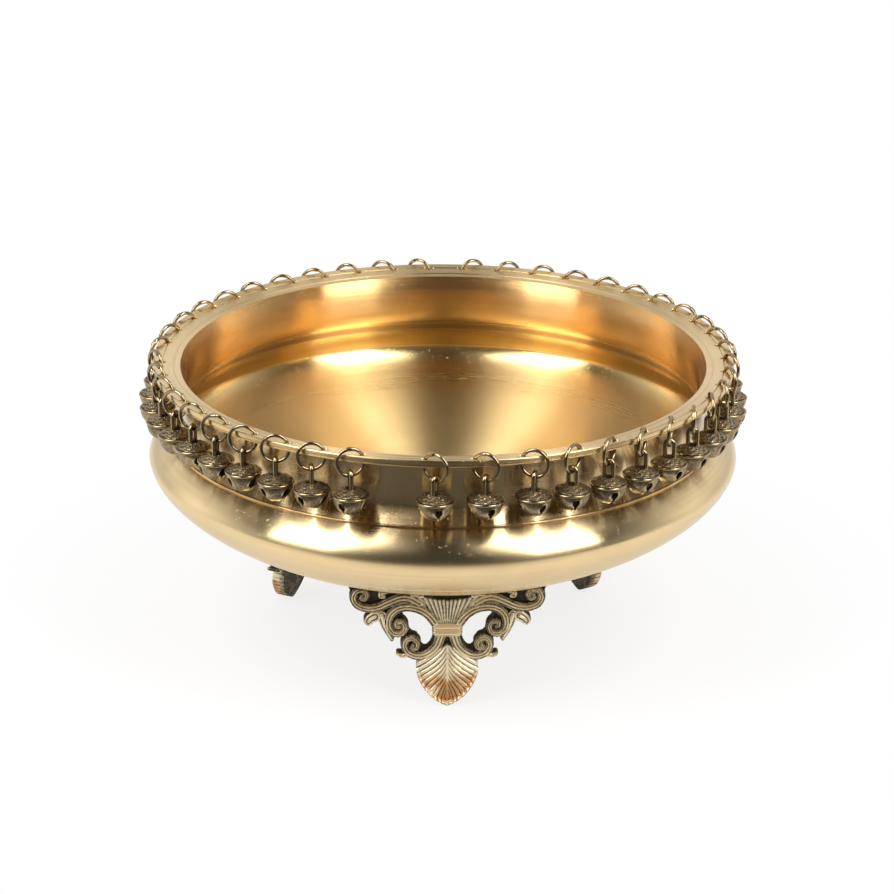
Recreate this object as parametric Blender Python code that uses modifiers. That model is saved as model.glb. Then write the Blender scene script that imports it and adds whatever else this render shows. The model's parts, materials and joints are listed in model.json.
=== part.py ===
"""Brass urli bowl: a turned bowl on three pierced cast feet, with bells on rings all round its rim.

The bowl stands on the plane z = 0 with its axis on +Z and one foot towards -Y. Lengths are in metres.
Run it with blender --background --python part.py, or from the text editor.
"""

import math
from typing import NamedTuple

import bmesh
import bpy
from mathutils import Matrix, Vector

MM = 0.001

# Bowl
BELLY_RADIUS = 127.0 * MM
BELLY_HEIGHT = 85.8 * MM
BELLY_DEPTH = 50.2 * MM
BELLY_POWER = 1.66
BASE_RADIUS = 62.0 * MM
WALL = 3.4 * MM
SHOULDER_INSET = 8.8 * MM
SHOULDER_RISE = 11.0 * MM
BEAD = 0.5 * MM
NECK_SWEEP = 11.7 * MM
RIM_RISE = 31.8 * MM
RIM_SLOPE = math.radians(12)
EDGE_INSET = 2.7 * MM
EDGE_THICKNESS = 3.0 * MM
LIP = 0.7 * MM
FILLET = 1.6 * MM
BOWL_SEGMENTS = 36
BELLY_STEPS = 5
SHOULDER_STEPS = 2
NECK_STEPS = 2

# Rings, and the holes that they hang in
HOLE_TO_EDGE = 3.8 * MM
HOLE_RADIUS = 1.85 * MM
HOLE_SIDES = 6
WIRE_RADIUS = 0.6 * MM
RING_RADIUS = 5.6 * MM
RING_DROP = 1.5 * MM
RING_SEGMENTS = 12
JOINED_RING_SEGMENTS = 8
WIRE_SIDES = 4
EDGE_CLEARANCE = 1.0 * MM

# Bells
BELL_RADIUS = 7.5 * MM
BELL_WALL = 1.0 * MM
DOME_HEIGHT = 3.3 * MM
CUP_DEPTH = 8.2 * MM
BAND_HEIGHT = 0.9 * MM
BELL_SEGMENTS = 8
CUP_STEPS = 2
SLIT_WIDTH = 1.1 * MM
SLIT_RISE = 4.3 * MM
SLIT_END_RADIUS = 1.6 * MM
SLIT_END_SIDES = 6
EYE_WIRE = 0.5 * MM
EYE_RADIUS = 1.9 * MM
EYE_LEG = 4.4 * MM
EYE_ROOT = 0.3 * MM
EYE_STEPS = 2
EYE_PLAY = 0.35 * MM
EYE_BITE = 0.25 * MM
NECK_CLEARANCE = 1.5 * MM
PELLET_RADIUS = 2.0 * MM
PELLET_GAP = 0.5 * MM
PELLET_SEGMENTS = 6
PELLET_RINGS = 4

# Feet
FOOT_ANGLES = (1.9, 122.7, 246.0)
FOOT_NAMES = ("foot_front", "foot_right", "foot_left")
FOOT_RADIUS = 72.0 * MM
FOOT_WIDTH = 80.4 * MM
FOOT_THICKNESS = 5.0 * MM
FOOT_FLARE = 4.5 * MM
RELIEF = 1.6 * MM
SCROLL_RADIUS = 3.3 * MM
SCROLL_SIDES = 6
TIE_SHARE = 0.68
TIE_WIDTH = 12.4 * MM
TIE_HEIGHT = 6.0 * MM
TIE_RELIEF = 2.1 * MM
FLUTES = 5
FLUTE_FAN = math.radians(96)
FLUTE_SHARE = 0.85
SIDE_FLUTE_SHARE = 0.53
FLUTE_RADIUS = 1.9 * MM
FLUTE_ROOT_RADIUS = 0.65 * MM
FLUTE_SIDES = 4
FLUTE_SINK = 0.15 * MM
BRAZE_GAP = 0.3 * MM

# Worked out from the sizes above
SHOULDER_RADIUS = BELLY_RADIUS - SHOULDER_INSET
SHOULDER_HEIGHT = BELLY_HEIGHT + SHOULDER_RISE
EDGE_RADIUS = BELLY_RADIUS - EDGE_INSET
RIM_HEIGHT = SHOULDER_HEIGHT + RIM_RISE
HOLE_CIRCLE = EDGE_RADIUS - HOLE_TO_EDGE
FLANGE_BOTTOM = RIM_HEIGHT - EDGE_THICKNESS
HOLE_HEIGHT = (FLANGE_BOTTOM + RIM_HEIGHT - HOLE_TO_EDGE * math.tan(RIM_SLOPE)) / 2
HALF_CHORD = math.sqrt(RING_RADIUS**2 - RING_DROP**2)
RING_SKEW = math.acos((HOLE_TO_EDGE + WIRE_RADIUS + EDGE_CLEARANCE) / (2 * HALF_CHORD))
RING_OUT = HALF_CHORD * math.cos(RING_SKEW)
RING_ALONG = HALF_CHORD * math.sin(RING_SKEW)
RING_BOTTOM = -RING_DROP - RING_RADIUS
BELL_CIRCLE = math.hypot(HOLE_CIRCLE + RING_OUT, RING_ALONG)
LEAN_ANGLE = math.atan2(RING_ALONG, HOLE_CIRCLE + RING_OUT)
NECK_RADIUS = BELL_CIRCLE - BELL_RADIUS - NECK_CLEARANCE
EYE_TOP = WIRE_RADIUS + EYE_WIRE + EYE_PLAY
BELL_TOP = EYE_TOP - EYE_RADIUS - EYE_LEG
BELL_LEVEL = BELL_TOP - DOME_HEIGHT
DOME_SLOPE = (DOME_HEIGHT - BAND_HEIGHT / 2) / BELL_RADIUS
FOOT_SHARE = (FOOT_RADIUS / BELLY_RADIUS) ** BELLY_POWER
FOOT_HEIGHT = BELLY_HEIGHT - BELLY_DEPTH * (1 - FOOT_SHARE) ** (1 / BELLY_POWER)
TIE_LEVEL = FOOT_HEIGHT * TIE_SHARE
FLUTE_ROOT = TIE_LEVEL - TIE_HEIGHT / 4


class Corner(NamedTuple):
    """A point of a foot's drawing: across from its middle, up from its pad, and whether it is sharp."""

    across: float
    up: float
    sharp: bool = False


# One half of a foot, on a drawing of this width and of this height up to the belly
DRAWN_WIDTH = 80.4
DRAWN_HEIGHT = 48.5
FOOT_OUTLINE = (
    Corner(3.0, 0.0, True),
    Corner(9.0, 5.8),
    Corner(12.4, 12.6),
    Corner(12.9, 17.6, True),
    Corner(21.4, 21.4, True),
    Corner(18.6, 24.4, True),
    Corner(18.4, 29.4, True),
    Corner(25.0, 32.8),
    Corner(26.8, 37.4, True),
    Corner(32.6, 35.4, True),
    Corner(32.0, 39.6, True),
    Corner(38.4, 43.0),
    Corner(40.2, 49.0),
    Corner(38.6, 57.0, True),
)
FOOT_OPENING = (
    Corner(5.8, 36.0),
    Corner(10.2, 40.2),
    Corner(15.2, 41.2),
    Corner(18.2, 38.8),
    Corner(16.2, 34.8),
    Corner(15.2, 31.0, True),
    Corner(12.0, 29.4),
    Corner(10.4, 25.4),
    Corner(8.0, 24.8),
    Corner(5.8, 29.0),
)
SCROLLS = (Corner(19.9, 34.6), Corner(14.2, 24.4), Corner(34.0, 46.6))


class Run(NamedTuple):
    """A row of evenly spaced bells: degrees from the front towards +X, and which way its rings lean."""

    first: float
    last: float
    count: int
    lean: int


RUNS = (
    Run(-17.1, -87.4, 10, -1),
    Run(-95.2, -174.5, 11, 1),
    Run(174.0, 24.8, 20, -1),
    Run(17.2, -1.2, 3, 1),
)
# The bells nearest the front have a ring, a shell and a pellet apiece; each other bell is one with its ring.
DETAILED_WITHIN = 25.0


class Station(NamedTuple):
    """One hole in the rim: its number, its place round the rim, and which way its ring leans."""

    number: int
    hole_angle: float
    lean: int
    detailed: bool


def stations():
    """Every station, numbered clockwise as seen from above, starting at the left of the front foot."""
    found = []
    for run in RUNS:
        for index in range(run.count):
            degrees = run.first + (run.last - run.first) * index / (run.count - 1)
            angle = math.radians(degrees) - run.lean * LEAN_ANGLE
            found.append(Station(len(found) + 1, angle, run.lean, abs(degrees) < DETAILED_WITHIN))
    return found


def clear_scene():
    """Removes the objects of the scene that the script starts from."""
    for obj in list(bpy.data.objects):
        bpy.data.objects.remove(obj, do_unlink=True)


def new_collection(name, hidden=False):
    """A collection linked to the scene."""
    made = bpy.data.collections.new(name)
    made.hide_render = hidden
    bpy.context.scene.collection.children.link(made)
    return made


def metal(name, colour, roughness):
    """A Principled BSDF metal of one colour."""
    made = bpy.data.materials.new(name)
    made.use_nodes = True
    shader = made.node_tree.nodes["Principled BSDF"]
    shader.inputs["Base Color"].default_value = (*colour, 1.0)
    shader.inputs["Metallic"].default_value = 1.0
    shader.inputs["Roughness"].default_value = roughness
    return made


def new_object(name, data, collection, matrix=None):
    """An object of this mesh or curve, linked to a collection and placed by a matrix."""
    obj = bpy.data.objects.new(name, data)
    obj.matrix_world = matrix or Matrix()
    collection.objects.link(obj)
    return obj


def add_part(name, mesh, material, location=(0.0, 0.0, 0.0), angle=0.0, parent=None):
    """A sub-part: an object of the mesh, turned about the vertical and placed relative to its parent."""
    obj = new_object(name, mesh, bpy.data.collections["brass_urli_bowl"])
    obj.location = location
    obj.rotation_euler = (0.0, 0.0, angle)
    obj.parent = parent
    if not mesh.materials:
        mesh.materials.append(material)
    return obj


def add_helper(name, data, matrix=None):
    """A shape that is joined to a part or cut from one, and isn't a part itself."""
    obj = new_object(name, data, bpy.data.collections["helpers"], matrix)
    obj.hide_render = True
    obj.display_type = "WIRE"
    return obj


def combine(target, helper, operation):
    """Adds a Boolean with one helper to an object."""
    modifier = target.modifiers.new(helper.name, "BOOLEAN")
    modifier.operation = operation
    modifier.solver = "EXACT"
    modifier.object = helper


def baked(obj):
    """The mesh of an object as its modifiers, or its curve settings, make it, with its seams closed."""
    bpy.context.view_layer.update()
    graph = bpy.context.evaluated_depsgraph_get()
    mesh = bpy.data.meshes.new_from_object(obj.evaluated_get(graph), depsgraph=graph)
    shape = bmesh.new()
    shape.from_mesh(mesh)
    bmesh.ops.remove_doubles(shape, verts=shape.verts, dist=1e-6)
    shape.to_mesh(mesh)
    shape.free()
    mesh.name = obj.name
    return mesh


def lathe(name, profile, steps):
    """A helper turned from a profile of (radius, height) points that runs down on its outer side."""
    mesh = bpy.data.meshes.new(name)
    shape = bmesh.new()
    points = [shape.verts.new((radius, 0.0, height)) for radius, height in profile]
    for start, end in zip(points, points[1:]):
        shape.edges.new((start, end))
    shape.to_mesh(mesh)
    shape.free()
    obj = add_helper(name, mesh)
    screw = obj.modifiers.new("Turn", "SCREW")
    screw.steps = screw.render_steps = steps
    screw.use_merge_vertices = True
    screw.merge_threshold = 1e-6
    return obj


def cylinder(name, radius, length, sides, matrices):
    """A helper of one cylinder along Z at each matrix."""
    mesh = bpy.data.meshes.new(name)
    shape = bmesh.new()
    for matrix in matrices:
        bmesh.ops.create_cone(
            shape,
            cap_ends=True,
            segments=sides,
            radius1=radius,
            radius2=radius,
            depth=length,
            matrix=matrix,
        )
    shape.to_mesh(mesh)
    shape.free()
    return add_helper(name, mesh)


def block(name, size, matrix):
    """A helper that is one box of this size."""
    mesh = bpy.data.meshes.new(name)
    shape = bmesh.new()
    bmesh.ops.create_cube(shape, size=1.0, matrix=matrix @ Matrix.Diagonal((*size, 1.0)))
    shape.to_mesh(mesh)
    shape.free()
    return add_helper(name, mesh)


def belly_curve(widest, depth, narrow, steps):
    """Points of a superellipse from its widest radius to a narrow one, as (radius, way from that level)."""
    last = math.acos((narrow / widest) ** (BELLY_POWER / 2))
    points = []
    for step in range(steps + 1):
        turn = last * step / steps
        spread = math.cos(turn) ** (2 / BELLY_POWER)
        points.append((widest * spread, depth * math.sin(turn) ** (2 / BELLY_POWER)))
    return points


def underside(drop=0.0):
    """The outside of the bowl from its widest level down and in to the flat base, lowered by drop."""
    curve = belly_curve(BELLY_RADIUS, BELLY_DEPTH, BASE_RADIUS, BELLY_STEPS)
    return [(radius, BELLY_HEIGHT - fall - drop) for radius, fall in curve]


def shoulder(widest, narrow, top):
    """The belly above its widest level, from the narrow radius at its top down and out to the widest."""
    unit = belly_curve(widest, 1.0, narrow, SHOULDER_STEPS)
    rise = (top - BELLY_HEIGHT) / unit[-1][1]
    return [(radius, BELLY_HEIGHT + rise * share) for radius, share in reversed(unit)]


def neck(offset, top):
    """The hollow of the neck from under the rim to the shoulder, as its outside moved in by an offset."""
    flare = SHOULDER_RADIUS - NECK_RADIUS
    points = [(NECK_RADIUS - offset, top)]
    for step in range(NECK_STEPS):
        turn = math.pi / 2 * step / NECK_STEPS
        spread = NECK_RADIUS - offset + flare * (1 - math.cos(turn))
        points.append((spread, SHOULDER_HEIGHT + NECK_SWEEP * (1 - math.sin(turn))))
    return points


def bowl_profile():
    """The section of the bowl, from its floor up the inside, over the rim and down the outside."""
    outside = underside()
    base = outside[-1][1]
    lip_radius = NECK_RADIUS - WALL + LIP
    lip_height = RIM_HEIGHT - (EDGE_RADIUS - lip_radius) * math.tan(RIM_SLOPE)
    inner_shoulder = shoulder(BELLY_RADIUS - WALL, SHOULDER_RADIUS - WALL, SHOULDER_HEIGHT)
    unit = belly_curve(BELLY_RADIUS - WALL, 1.0, BASE_RADIUS, BELLY_STEPS)
    depth = (BELLY_HEIGHT - base - WALL) / unit[-1][1]
    inside = [(radius, BELLY_HEIGHT - depth * share) for radius, share in unit]
    inner_neck = neck(WALL, lip_height - 2 * FILLET)
    outer_neck = neck(0.0, FLANGE_BOTTOM - FILLET)
    up = [(0.0, base + WALL), *reversed(inside), *reversed(inner_shoulder[:-1]), *reversed(inner_neck)]
    rim = [
        (lip_radius, lip_height),
        (EDGE_RADIUS, RIM_HEIGHT),
        (EDGE_RADIUS, FLANGE_BOTTOM),
        (NECK_RADIUS + FILLET, FLANGE_BOTTOM),
    ]
    bead = [
        (SHOULDER_RADIUS + BEAD, SHOULDER_HEIGHT + 2 * BEAD),
        (SHOULDER_RADIUS + BEAD, SHOULDER_HEIGHT + BEAD),
    ]
    outer_shoulder = shoulder(BELLY_RADIUS, SHOULDER_RADIUS, SHOULDER_HEIGHT)
    return [*up, *rim, *outer_neck, *bead, *outer_shoulder[:-1], *outside, (0.0, base)]


def rim_place(angle, radius, height):
    """A point at this angle round the bowl from the front, towards +X."""
    return Vector((radius * math.sin(angle), -radius * math.cos(angle), height))


def make_bowl(material):
    """The bowl: one turned and drilled casting."""
    turned = lathe("bowl_section", bowl_profile(), BOWL_SEGMENTS)
    places = [rim_place(station.hole_angle, HOLE_CIRCLE, HOLE_HEIGHT) for station in stations()]
    drills = [Matrix.Translation(place) for place in places]
    drill = cylinder("rim_drills", HOLE_RADIUS, 2 * EDGE_THICKNESS, HOLE_SIDES, drills)
    combine(turned, drill, "DIFFERENCE")
    return add_part("bowl", baked(turned), material)


def ring_turn(lean):
    """The turn about the vertical that lays the X axis along a ring's plane, away from its hole."""
    return Matrix.Rotation(math.atan2(-math.cos(RING_SKEW), lean * math.sin(RING_SKEW)), 4, "Z")


def ring_mesh(lean, segments):
    """A jump ring as it hangs, about the middle of its hole, with the outside of the bowl at -Y."""
    centre = Vector((lean * RING_ALONG, -RING_OUT, -RING_DROP))
    bpy.ops.mesh.primitive_torus_add(
        major_radius=RING_RADIUS,
        minor_radius=WIRE_RADIUS,
        major_segments=segments,
        minor_segments=WIRE_SIDES,
    )
    torus = bpy.context.object
    mesh = torus.data
    bpy.data.objects.remove(torus)
    upright = Matrix.Rotation(math.pi / 2, 4, "X")
    mesh.transform(Matrix.Translation(centre) @ ring_turn(lean) @ upright)
    return mesh


def bell_profile(inset=0.0):
    """The section of a bell about its band, from the top of its dome to the bottom of its cup."""
    body = BELL_RADIUS - inset
    half_band = BAND_HEIGHT / 2
    points = [(0.0, DOME_HEIGHT - inset), (body, half_band - min(inset, half_band))]
    for step in range(CUP_STEPS):
        turn = math.pi / 2 * step / CUP_STEPS
        fall = half_band + (CUP_DEPTH - inset - half_band) * math.sin(turn)
        points.append((body * math.cos(turn), -fall))
    return [*points, (0.0, inset - CUP_DEPTH)]


def eye_curve(name, play):
    """The wire eye of a bell in the XZ plane: an arch over the ring's wire, and two legs to the dome."""
    top = WIRE_RADIUS + EYE_WIRE + play - EYE_RADIUS
    arch = [math.pi * (1 - step / EYE_STEPS) for step in range(EYE_STEPS + 1)]
    points = [(EYE_RADIUS * math.cos(turn), top + EYE_RADIUS * math.sin(turn)) for turn in arch]
    foot = BELL_TOP - DOME_SLOPE * EYE_RADIUS - EYE_ROOT
    points = [(-EYE_RADIUS, foot), *points, (EYE_RADIUS, foot)]
    curve = bpy.data.curves.new(name, "CURVE")
    curve.dimensions = "3D"
    curve.bevel_depth = EYE_WIRE
    curve.bevel_resolution = 0
    curve.use_fill_caps = True
    spline = curve.splines.new("POLY")
    spline.points.add(len(points) - 1)
    for point, (across, height) in zip(spline.points, points):
        point.co = (across, 0.0, height, 1.0)
    return baked(add_helper(name, curve))


def bell_helper(name, play):
    """A solid bell with its eye, about the point where it hangs on the bottom of a ring's wire."""
    bell = lathe(name, bell_profile(), BELL_SEGMENTS)
    bell.data.transform(Matrix.Translation((0.0, 0.0, BELL_LEVEL)))
    eye = add_helper(name + "_eye", eye_curve(name + "_wire", play))
    combine(bell, eye, "UNION")
    return bell


def hollow_bell_mesh():
    """A cast bell: a shell with its eye, whose cup is slit crosswise, each slit with a round end."""
    bell = bell_helper("shell", EYE_PLAY)
    hollow = lathe("hollow", bell_profile(BELL_WALL), BELL_SEGMENTS)
    hollow.data.transform(Matrix.Translation((0.0, 0.0, BELL_LEVEL)))
    combine(bell, hollow, "DIFFERENCE")
    ends = BELL_LEVEL - CUP_DEPTH + SLIT_RISE
    slit_size = (3 * BELL_RADIUS, SLIT_WIDTH, CUP_DEPTH)
    for index, turn in enumerate((math.pi / 4, 3 * math.pi / 4)):
        place = Matrix.Translation((0.0, 0.0, ends)) @ Matrix.Rotation(turn, 4, "Z")
        along = place @ Matrix.Rotation(math.pi / 2, 4, "Y")
        lower = place @ Matrix.Translation((0.0, 0.0, -CUP_DEPTH / 2))
        drill = cylinder(f"slit_ends_{index}", SLIT_END_RADIUS, 3 * BELL_RADIUS, SLIT_END_SIDES, [along])
        combine(bell, drill, "DIFFERENCE")
        combine(bell, block(f"slit_{index}", slit_size, lower), "DIFFERENCE")
    return baked(bell)


def bell_hang(lean):
    """Where a bell hangs, about the middle of its ring's hole: its eye stands square to the ring."""
    place = Matrix.Translation((lean * RING_ALONG, -RING_OUT, RING_BOTTOM))
    return place @ ring_turn(lean) @ Matrix.Rotation(math.pi / 2, 4, "Z")


def drop_mesh(lean):
    """A bell and its ring in one, about the middle of the ring's hole."""
    mesh = baked(bell_helper(f"drop_bell_{lean}", -EYE_BITE))
    mesh.transform(bell_hang(lean))
    drop = add_helper(f"drop_{lean}", mesh)
    combine(drop, add_helper(f"drop_ring_{lean}", ring_mesh(lean, JOINED_RING_SEGMENTS)), "UNION")
    return baked(drop)


def pellet_mesh():
    """The pellet that rattles in a bell."""
    mesh = bpy.data.meshes.new("pellet")
    shape = bmesh.new()
    bmesh.ops.create_uvsphere(
        shape, u_segments=PELLET_SEGMENTS, v_segments=PELLET_RINGS, radius=PELLET_RADIUS
    )
    shape.to_mesh(mesh)
    shape.free()
    return mesh


def make_stations(bowl, brass, iron):
    """The rings and bells round the rim."""
    whole = {lean: drop_mesh(lean) for lean in (-1, 1)}
    rings = {lean: ring_mesh(lean, RING_SEGMENTS) for lean in (-1, 1)}
    shell = hollow_bell_mesh()
    pellet = pellet_mesh()
    pellet_height = BELL_LEVEL - CUP_DEPTH + BELL_WALL + PELLET_RADIUS + PELLET_GAP
    for number, angle, lean, detailed in stations():
        place = rim_place(angle, HOLE_CIRCLE, HOLE_HEIGHT)
        if not detailed:
            add_part(f"bell_on_ring_{number:02d}", whole[lean], brass, place, angle, bowl)
            continue
        ring = add_part(f"jump_ring_{number:02d}", rings[lean], brass, place, angle, bowl)
        hang = bell_hang(lean)
        bell = add_part(f"bell_{number:02d}", shell, brass, hang.translation, hang.to_euler().z, ring)
        add_part(f"bell_pellet_{number:02d}", pellet, iron, (0.0, 0.0, pellet_height), 0.0, bell)


def on_foot(corner, side):
    """Where a point of the drawing lies on one side of a real foot, as (across, up)."""
    across = side * corner.across * FOOT_WIDTH / DRAWN_WIDTH
    return across, corner.up * FOOT_HEIGHT / DRAWN_HEIGHT


def add_spline(curve, corners, side=1):
    """Adds one closed outline to a flat curve, smooth but for its sharp corners."""
    spline = curve.splines.new("BEZIER")
    spline.use_cyclic_u = True
    spline.bezier_points.add(len(corners) - 1)
    for point, corner in zip(spline.bezier_points, corners):
        point.co = (*on_foot(corner, side), 0.0)
        point.handle_left_type = point.handle_right_type = "VECTOR" if corner.sharp else "AUTO"


def foot_plate():
    """The pierced plate of a foot, upright in the XZ plane, with its face at -Y."""
    curve = bpy.data.curves.new("foot_outline", "CURVE")
    curve.dimensions = "2D"
    curve.fill_mode = "BOTH"
    curve.resolution_u = 2
    curve.extrude = FOOT_THICKNESS / 2
    other_side = [corner._replace(across=-corner.across) for corner in reversed(FOOT_OUTLINE)]
    add_spline(curve, [*FOOT_OUTLINE, *other_side])
    for side in (-1, 1):
        add_spline(curve, FOOT_OPENING, side)
    mesh = baked(add_helper("foot_outline", curve))
    mesh.transform(Matrix.Rotation(math.pi / 2, 4, "X"))
    return add_helper("foot_plate", mesh)


def add_scrolls(plate):
    """Raises the eyes of the scrolls on the face of a foot."""
    length = FOOT_THICKNESS / 2 + RELIEF
    for index, corner in enumerate(SCROLLS):
        for side in (-1, 1):
            across, up = on_foot(corner, side)
            place = Matrix.Translation((across, -length / 2, up)) @ Matrix.Rotation(math.pi / 2, 4, "X")
            eye = cylinder(f"scroll_{index}_{side}", SCROLL_RADIUS, length, SCROLL_SIDES, [place])
            combine(plate, eye, "UNION")


def add_tie(plate):
    """Raises the band that ties the plume to the shell."""
    depth = FOOT_THICKNESS / 2 + TIE_RELIEF
    place = Matrix.Translation((0.0, -depth / 2, TIE_LEVEL))
    combine(plate, block("tie", (TIE_WIDTH, depth, TIE_HEIGHT), place), "UNION")


def add_flutes(plate):
    """Raises the flutes of the shell, which fan out downwards from the tie and widen to the lip."""
    root = Vector((0.0, FLUTE_SINK - FOOT_THICKNESS / 2, FLUTE_ROOT))
    for index in range(FLUTES):
        share = 2 * index / (FLUTES - 1) - 1
        length = FLUTE_ROOT * (FLUTE_SHARE + (SIDE_FLUTE_SHARE - FLUTE_SHARE) * abs(share))
        tilt = Matrix.Rotation(math.pi - share * FLUTE_FAN / 2, 4, "Y")
        mesh = bpy.data.meshes.new("flute")
        shape = bmesh.new()
        bmesh.ops.create_cone(
            shape,
            cap_ends=True,
            segments=FLUTE_SIDES,
            radius1=FLUTE_ROOT_RADIUS,
            radius2=FLUTE_RADIUS,
            depth=length,
            matrix=Matrix.Translation(root) @ tilt @ Matrix.Translation((0.0, 0.0, length / 2)),
        )
        shape.to_mesh(mesh)
        shape.free()
        combine(plate, add_helper(f"flute_{index}", mesh), "UNION")


def flared(mesh):
    """The mesh of a foot with its lower end swept outwards, more towards the pad."""
    shape = bmesh.new()
    shape.from_mesh(mesh)
    bmesh.ops.triangulate(shape, faces=shape.faces)
    for vertex in shape.verts:
        rise = min(vertex.co.z / FOOT_HEIGHT, 1.0)
        vertex.co.y -= FOOT_FLARE * (1 - rise) ** 2
    shape.to_mesh(mesh)
    shape.free()
    return mesh


def make_feet(bowl, brass):
    """The three feet, each cut to the belly that it is brazed under."""
    plate = foot_plate()
    add_scrolls(plate)
    add_tie(plate)
    add_flutes(plate)
    place = Matrix.Translation(rim_place(0.0, FOOT_RADIUS, 0.0))
    foot = add_helper("foot", flared(baked(plate)), place)
    seat = underside(BRAZE_GAP)
    profile = [(0.0, BELLY_HEIGHT), *seat, (0.0, seat[-1][1])]
    combine(foot, lathe("foot_seat", profile, BOWL_SEGMENTS), "DIFFERENCE")
    mesh = baked(foot)
    for name, degrees in zip(FOOT_NAMES, FOOT_ANGLES):
        angle = math.radians(degrees)
        add_part(name, mesh, brass, rim_place(angle, FOOT_RADIUS, 0.0), angle, bowl)


def main():
    """Builds the object."""
    clear_scene()
    new_collection("brass_urli_bowl")
    new_collection("helpers", hidden=True)
    polished = metal("polished_brass", (0.78, 0.56, 0.25), 0.22)
    antique = metal("antique_brass", (0.55, 0.42, 0.20), 0.38)
    iron = metal("pellet_iron", (0.35, 0.34, 0.33), 0.45)
    bowl = make_bowl(polished)
    make_feet(bowl, antique)
    make_stations(bowl, antique, iron)


main()
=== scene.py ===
"""The looks of the brass urli bowl: a turned and polished bowl on cast scroll feet, hung with slit bells.

Every surface is worked out with numpy in metres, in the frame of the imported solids, and dressed with
procedural metals. The bowl stands on z = 0 with its axis on +Z and one foot towards -Y.
"""

from __future__ import annotations

import json
import logging
import math
from dataclasses import dataclass
from enum import Enum
from typing import Any, Callable, Iterator, Mapping, Sequence, Union

import bmesh
import bpy
import numpy as np
from mathutils import Matrix, Vector
from numpy.typing import NDArray

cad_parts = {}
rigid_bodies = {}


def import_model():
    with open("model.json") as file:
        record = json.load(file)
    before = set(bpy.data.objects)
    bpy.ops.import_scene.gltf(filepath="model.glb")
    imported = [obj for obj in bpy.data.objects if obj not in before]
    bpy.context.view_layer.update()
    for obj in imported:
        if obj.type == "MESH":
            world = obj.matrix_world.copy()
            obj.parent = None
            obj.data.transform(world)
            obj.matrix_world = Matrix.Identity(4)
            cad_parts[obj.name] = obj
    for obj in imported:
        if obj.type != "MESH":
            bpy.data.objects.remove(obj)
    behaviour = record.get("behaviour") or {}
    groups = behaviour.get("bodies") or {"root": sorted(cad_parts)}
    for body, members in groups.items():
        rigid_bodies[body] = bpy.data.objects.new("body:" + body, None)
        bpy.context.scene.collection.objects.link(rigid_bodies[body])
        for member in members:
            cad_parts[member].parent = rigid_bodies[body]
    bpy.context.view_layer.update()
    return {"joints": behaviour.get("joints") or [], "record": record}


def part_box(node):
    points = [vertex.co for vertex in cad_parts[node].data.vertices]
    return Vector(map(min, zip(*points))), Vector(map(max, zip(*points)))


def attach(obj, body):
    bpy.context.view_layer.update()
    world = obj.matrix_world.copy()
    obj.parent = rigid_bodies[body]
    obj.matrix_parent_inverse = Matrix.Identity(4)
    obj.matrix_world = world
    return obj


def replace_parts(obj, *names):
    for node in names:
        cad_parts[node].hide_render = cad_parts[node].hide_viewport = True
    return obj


Array = NDArray[np.float64]
Faces = NDArray[np.int64]
Colour = tuple[float, float, float]
Span = tuple[float, float]
Levels = tuple[float, float, float, float]
Corners = tuple[tuple[float, float], ...]

MM = 0.001
TAU = 2 * math.pi
SEAM = 1e-7
SHARP_EDGE = math.radians(50)
HOLLOW = "hollow"

log = logging.getLogger("urli_bowl")


class Slot(Enum):
    """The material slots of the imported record."""

    POLISHED = "polished_brass"
    ANTIQUE = "antique_brass"
    IRON = "pellet_iron"


# Surfaces


@dataclass
class Surface:
    """A mesh held in arrays.

    Attributes:
        points: Corner points, one row each.
        faces: Four corner numbers of each face, anticlockwise as seen from outside.
        hollow: How deep each point lies in a recess, from 0 on a rubbed height to 1 at the bottom; inside
            the polished bowl it brings painted shade.
        finish: Which of the piece's materials each face has.
    """

    points: Array
    faces: Faces
    hollow: Array
    finish: Faces

    @staticmethod
    def joined(parts: Sequence[Surface]) -> Surface:
        """One surface of several, side by side.

        Args:
            parts: The surfaces to put together.

        Returns:
            A surface that holds them all.
        """
        starts = np.cumsum([0] + [len(part.points) for part in parts[:-1]])
        return Surface(
            np.concatenate([part.points for part in parts]),
            np.concatenate([part.faces + start for part, start in zip(parts, starts)]),
            np.concatenate([part.hollow for part in parts]),
            np.concatenate([part.finish for part in parts]),
        )

    def placed(self, matrix: Array) -> Surface:
        """This surface moved by a 4 x 4 matrix.

        Args:
            matrix: A turn and a shift, with no scaling.

        Returns:
            The moved copy.
        """
        moved = self.points @ matrix[:3, :3].T + matrix[:3, 3]
        return Surface(moved, self.faces, self.hollow, self.finish)

    def finished(self, index: int) -> Surface:
        """This surface with all its faces in one of the piece's materials."""
        return Surface(self.points, self.faces, self.hollow, np.full(len(self.faces), index))


def grid_faces(rows: int, columns: int, wrap_rows: bool, wrap_columns: bool) -> Faces:
    """The faces between neighbouring points of a grid.

    Args:
        rows: Number of rows of points.
        columns: Number of points in a row.
        wrap_rows: Whether the last row joins the first.
        wrap_columns: Whether each row's last point joins its first.

    Returns:
        Four point numbers a face, of points numbered row by row.
    """
    row = np.arange(rows if wrap_rows else rows - 1)[:, None]
    column = np.arange(columns if wrap_columns else columns - 1)[None, :]
    next_row = (row + 1) % rows
    next_column = (column + 1) % columns
    corners = (
        row * columns + column,
        row * columns + next_column,
        next_row * columns + next_column,
        next_row * columns + column,
    )
    return np.stack(np.broadcast_arrays(*corners), axis=-1).reshape(-1, 4)


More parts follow.
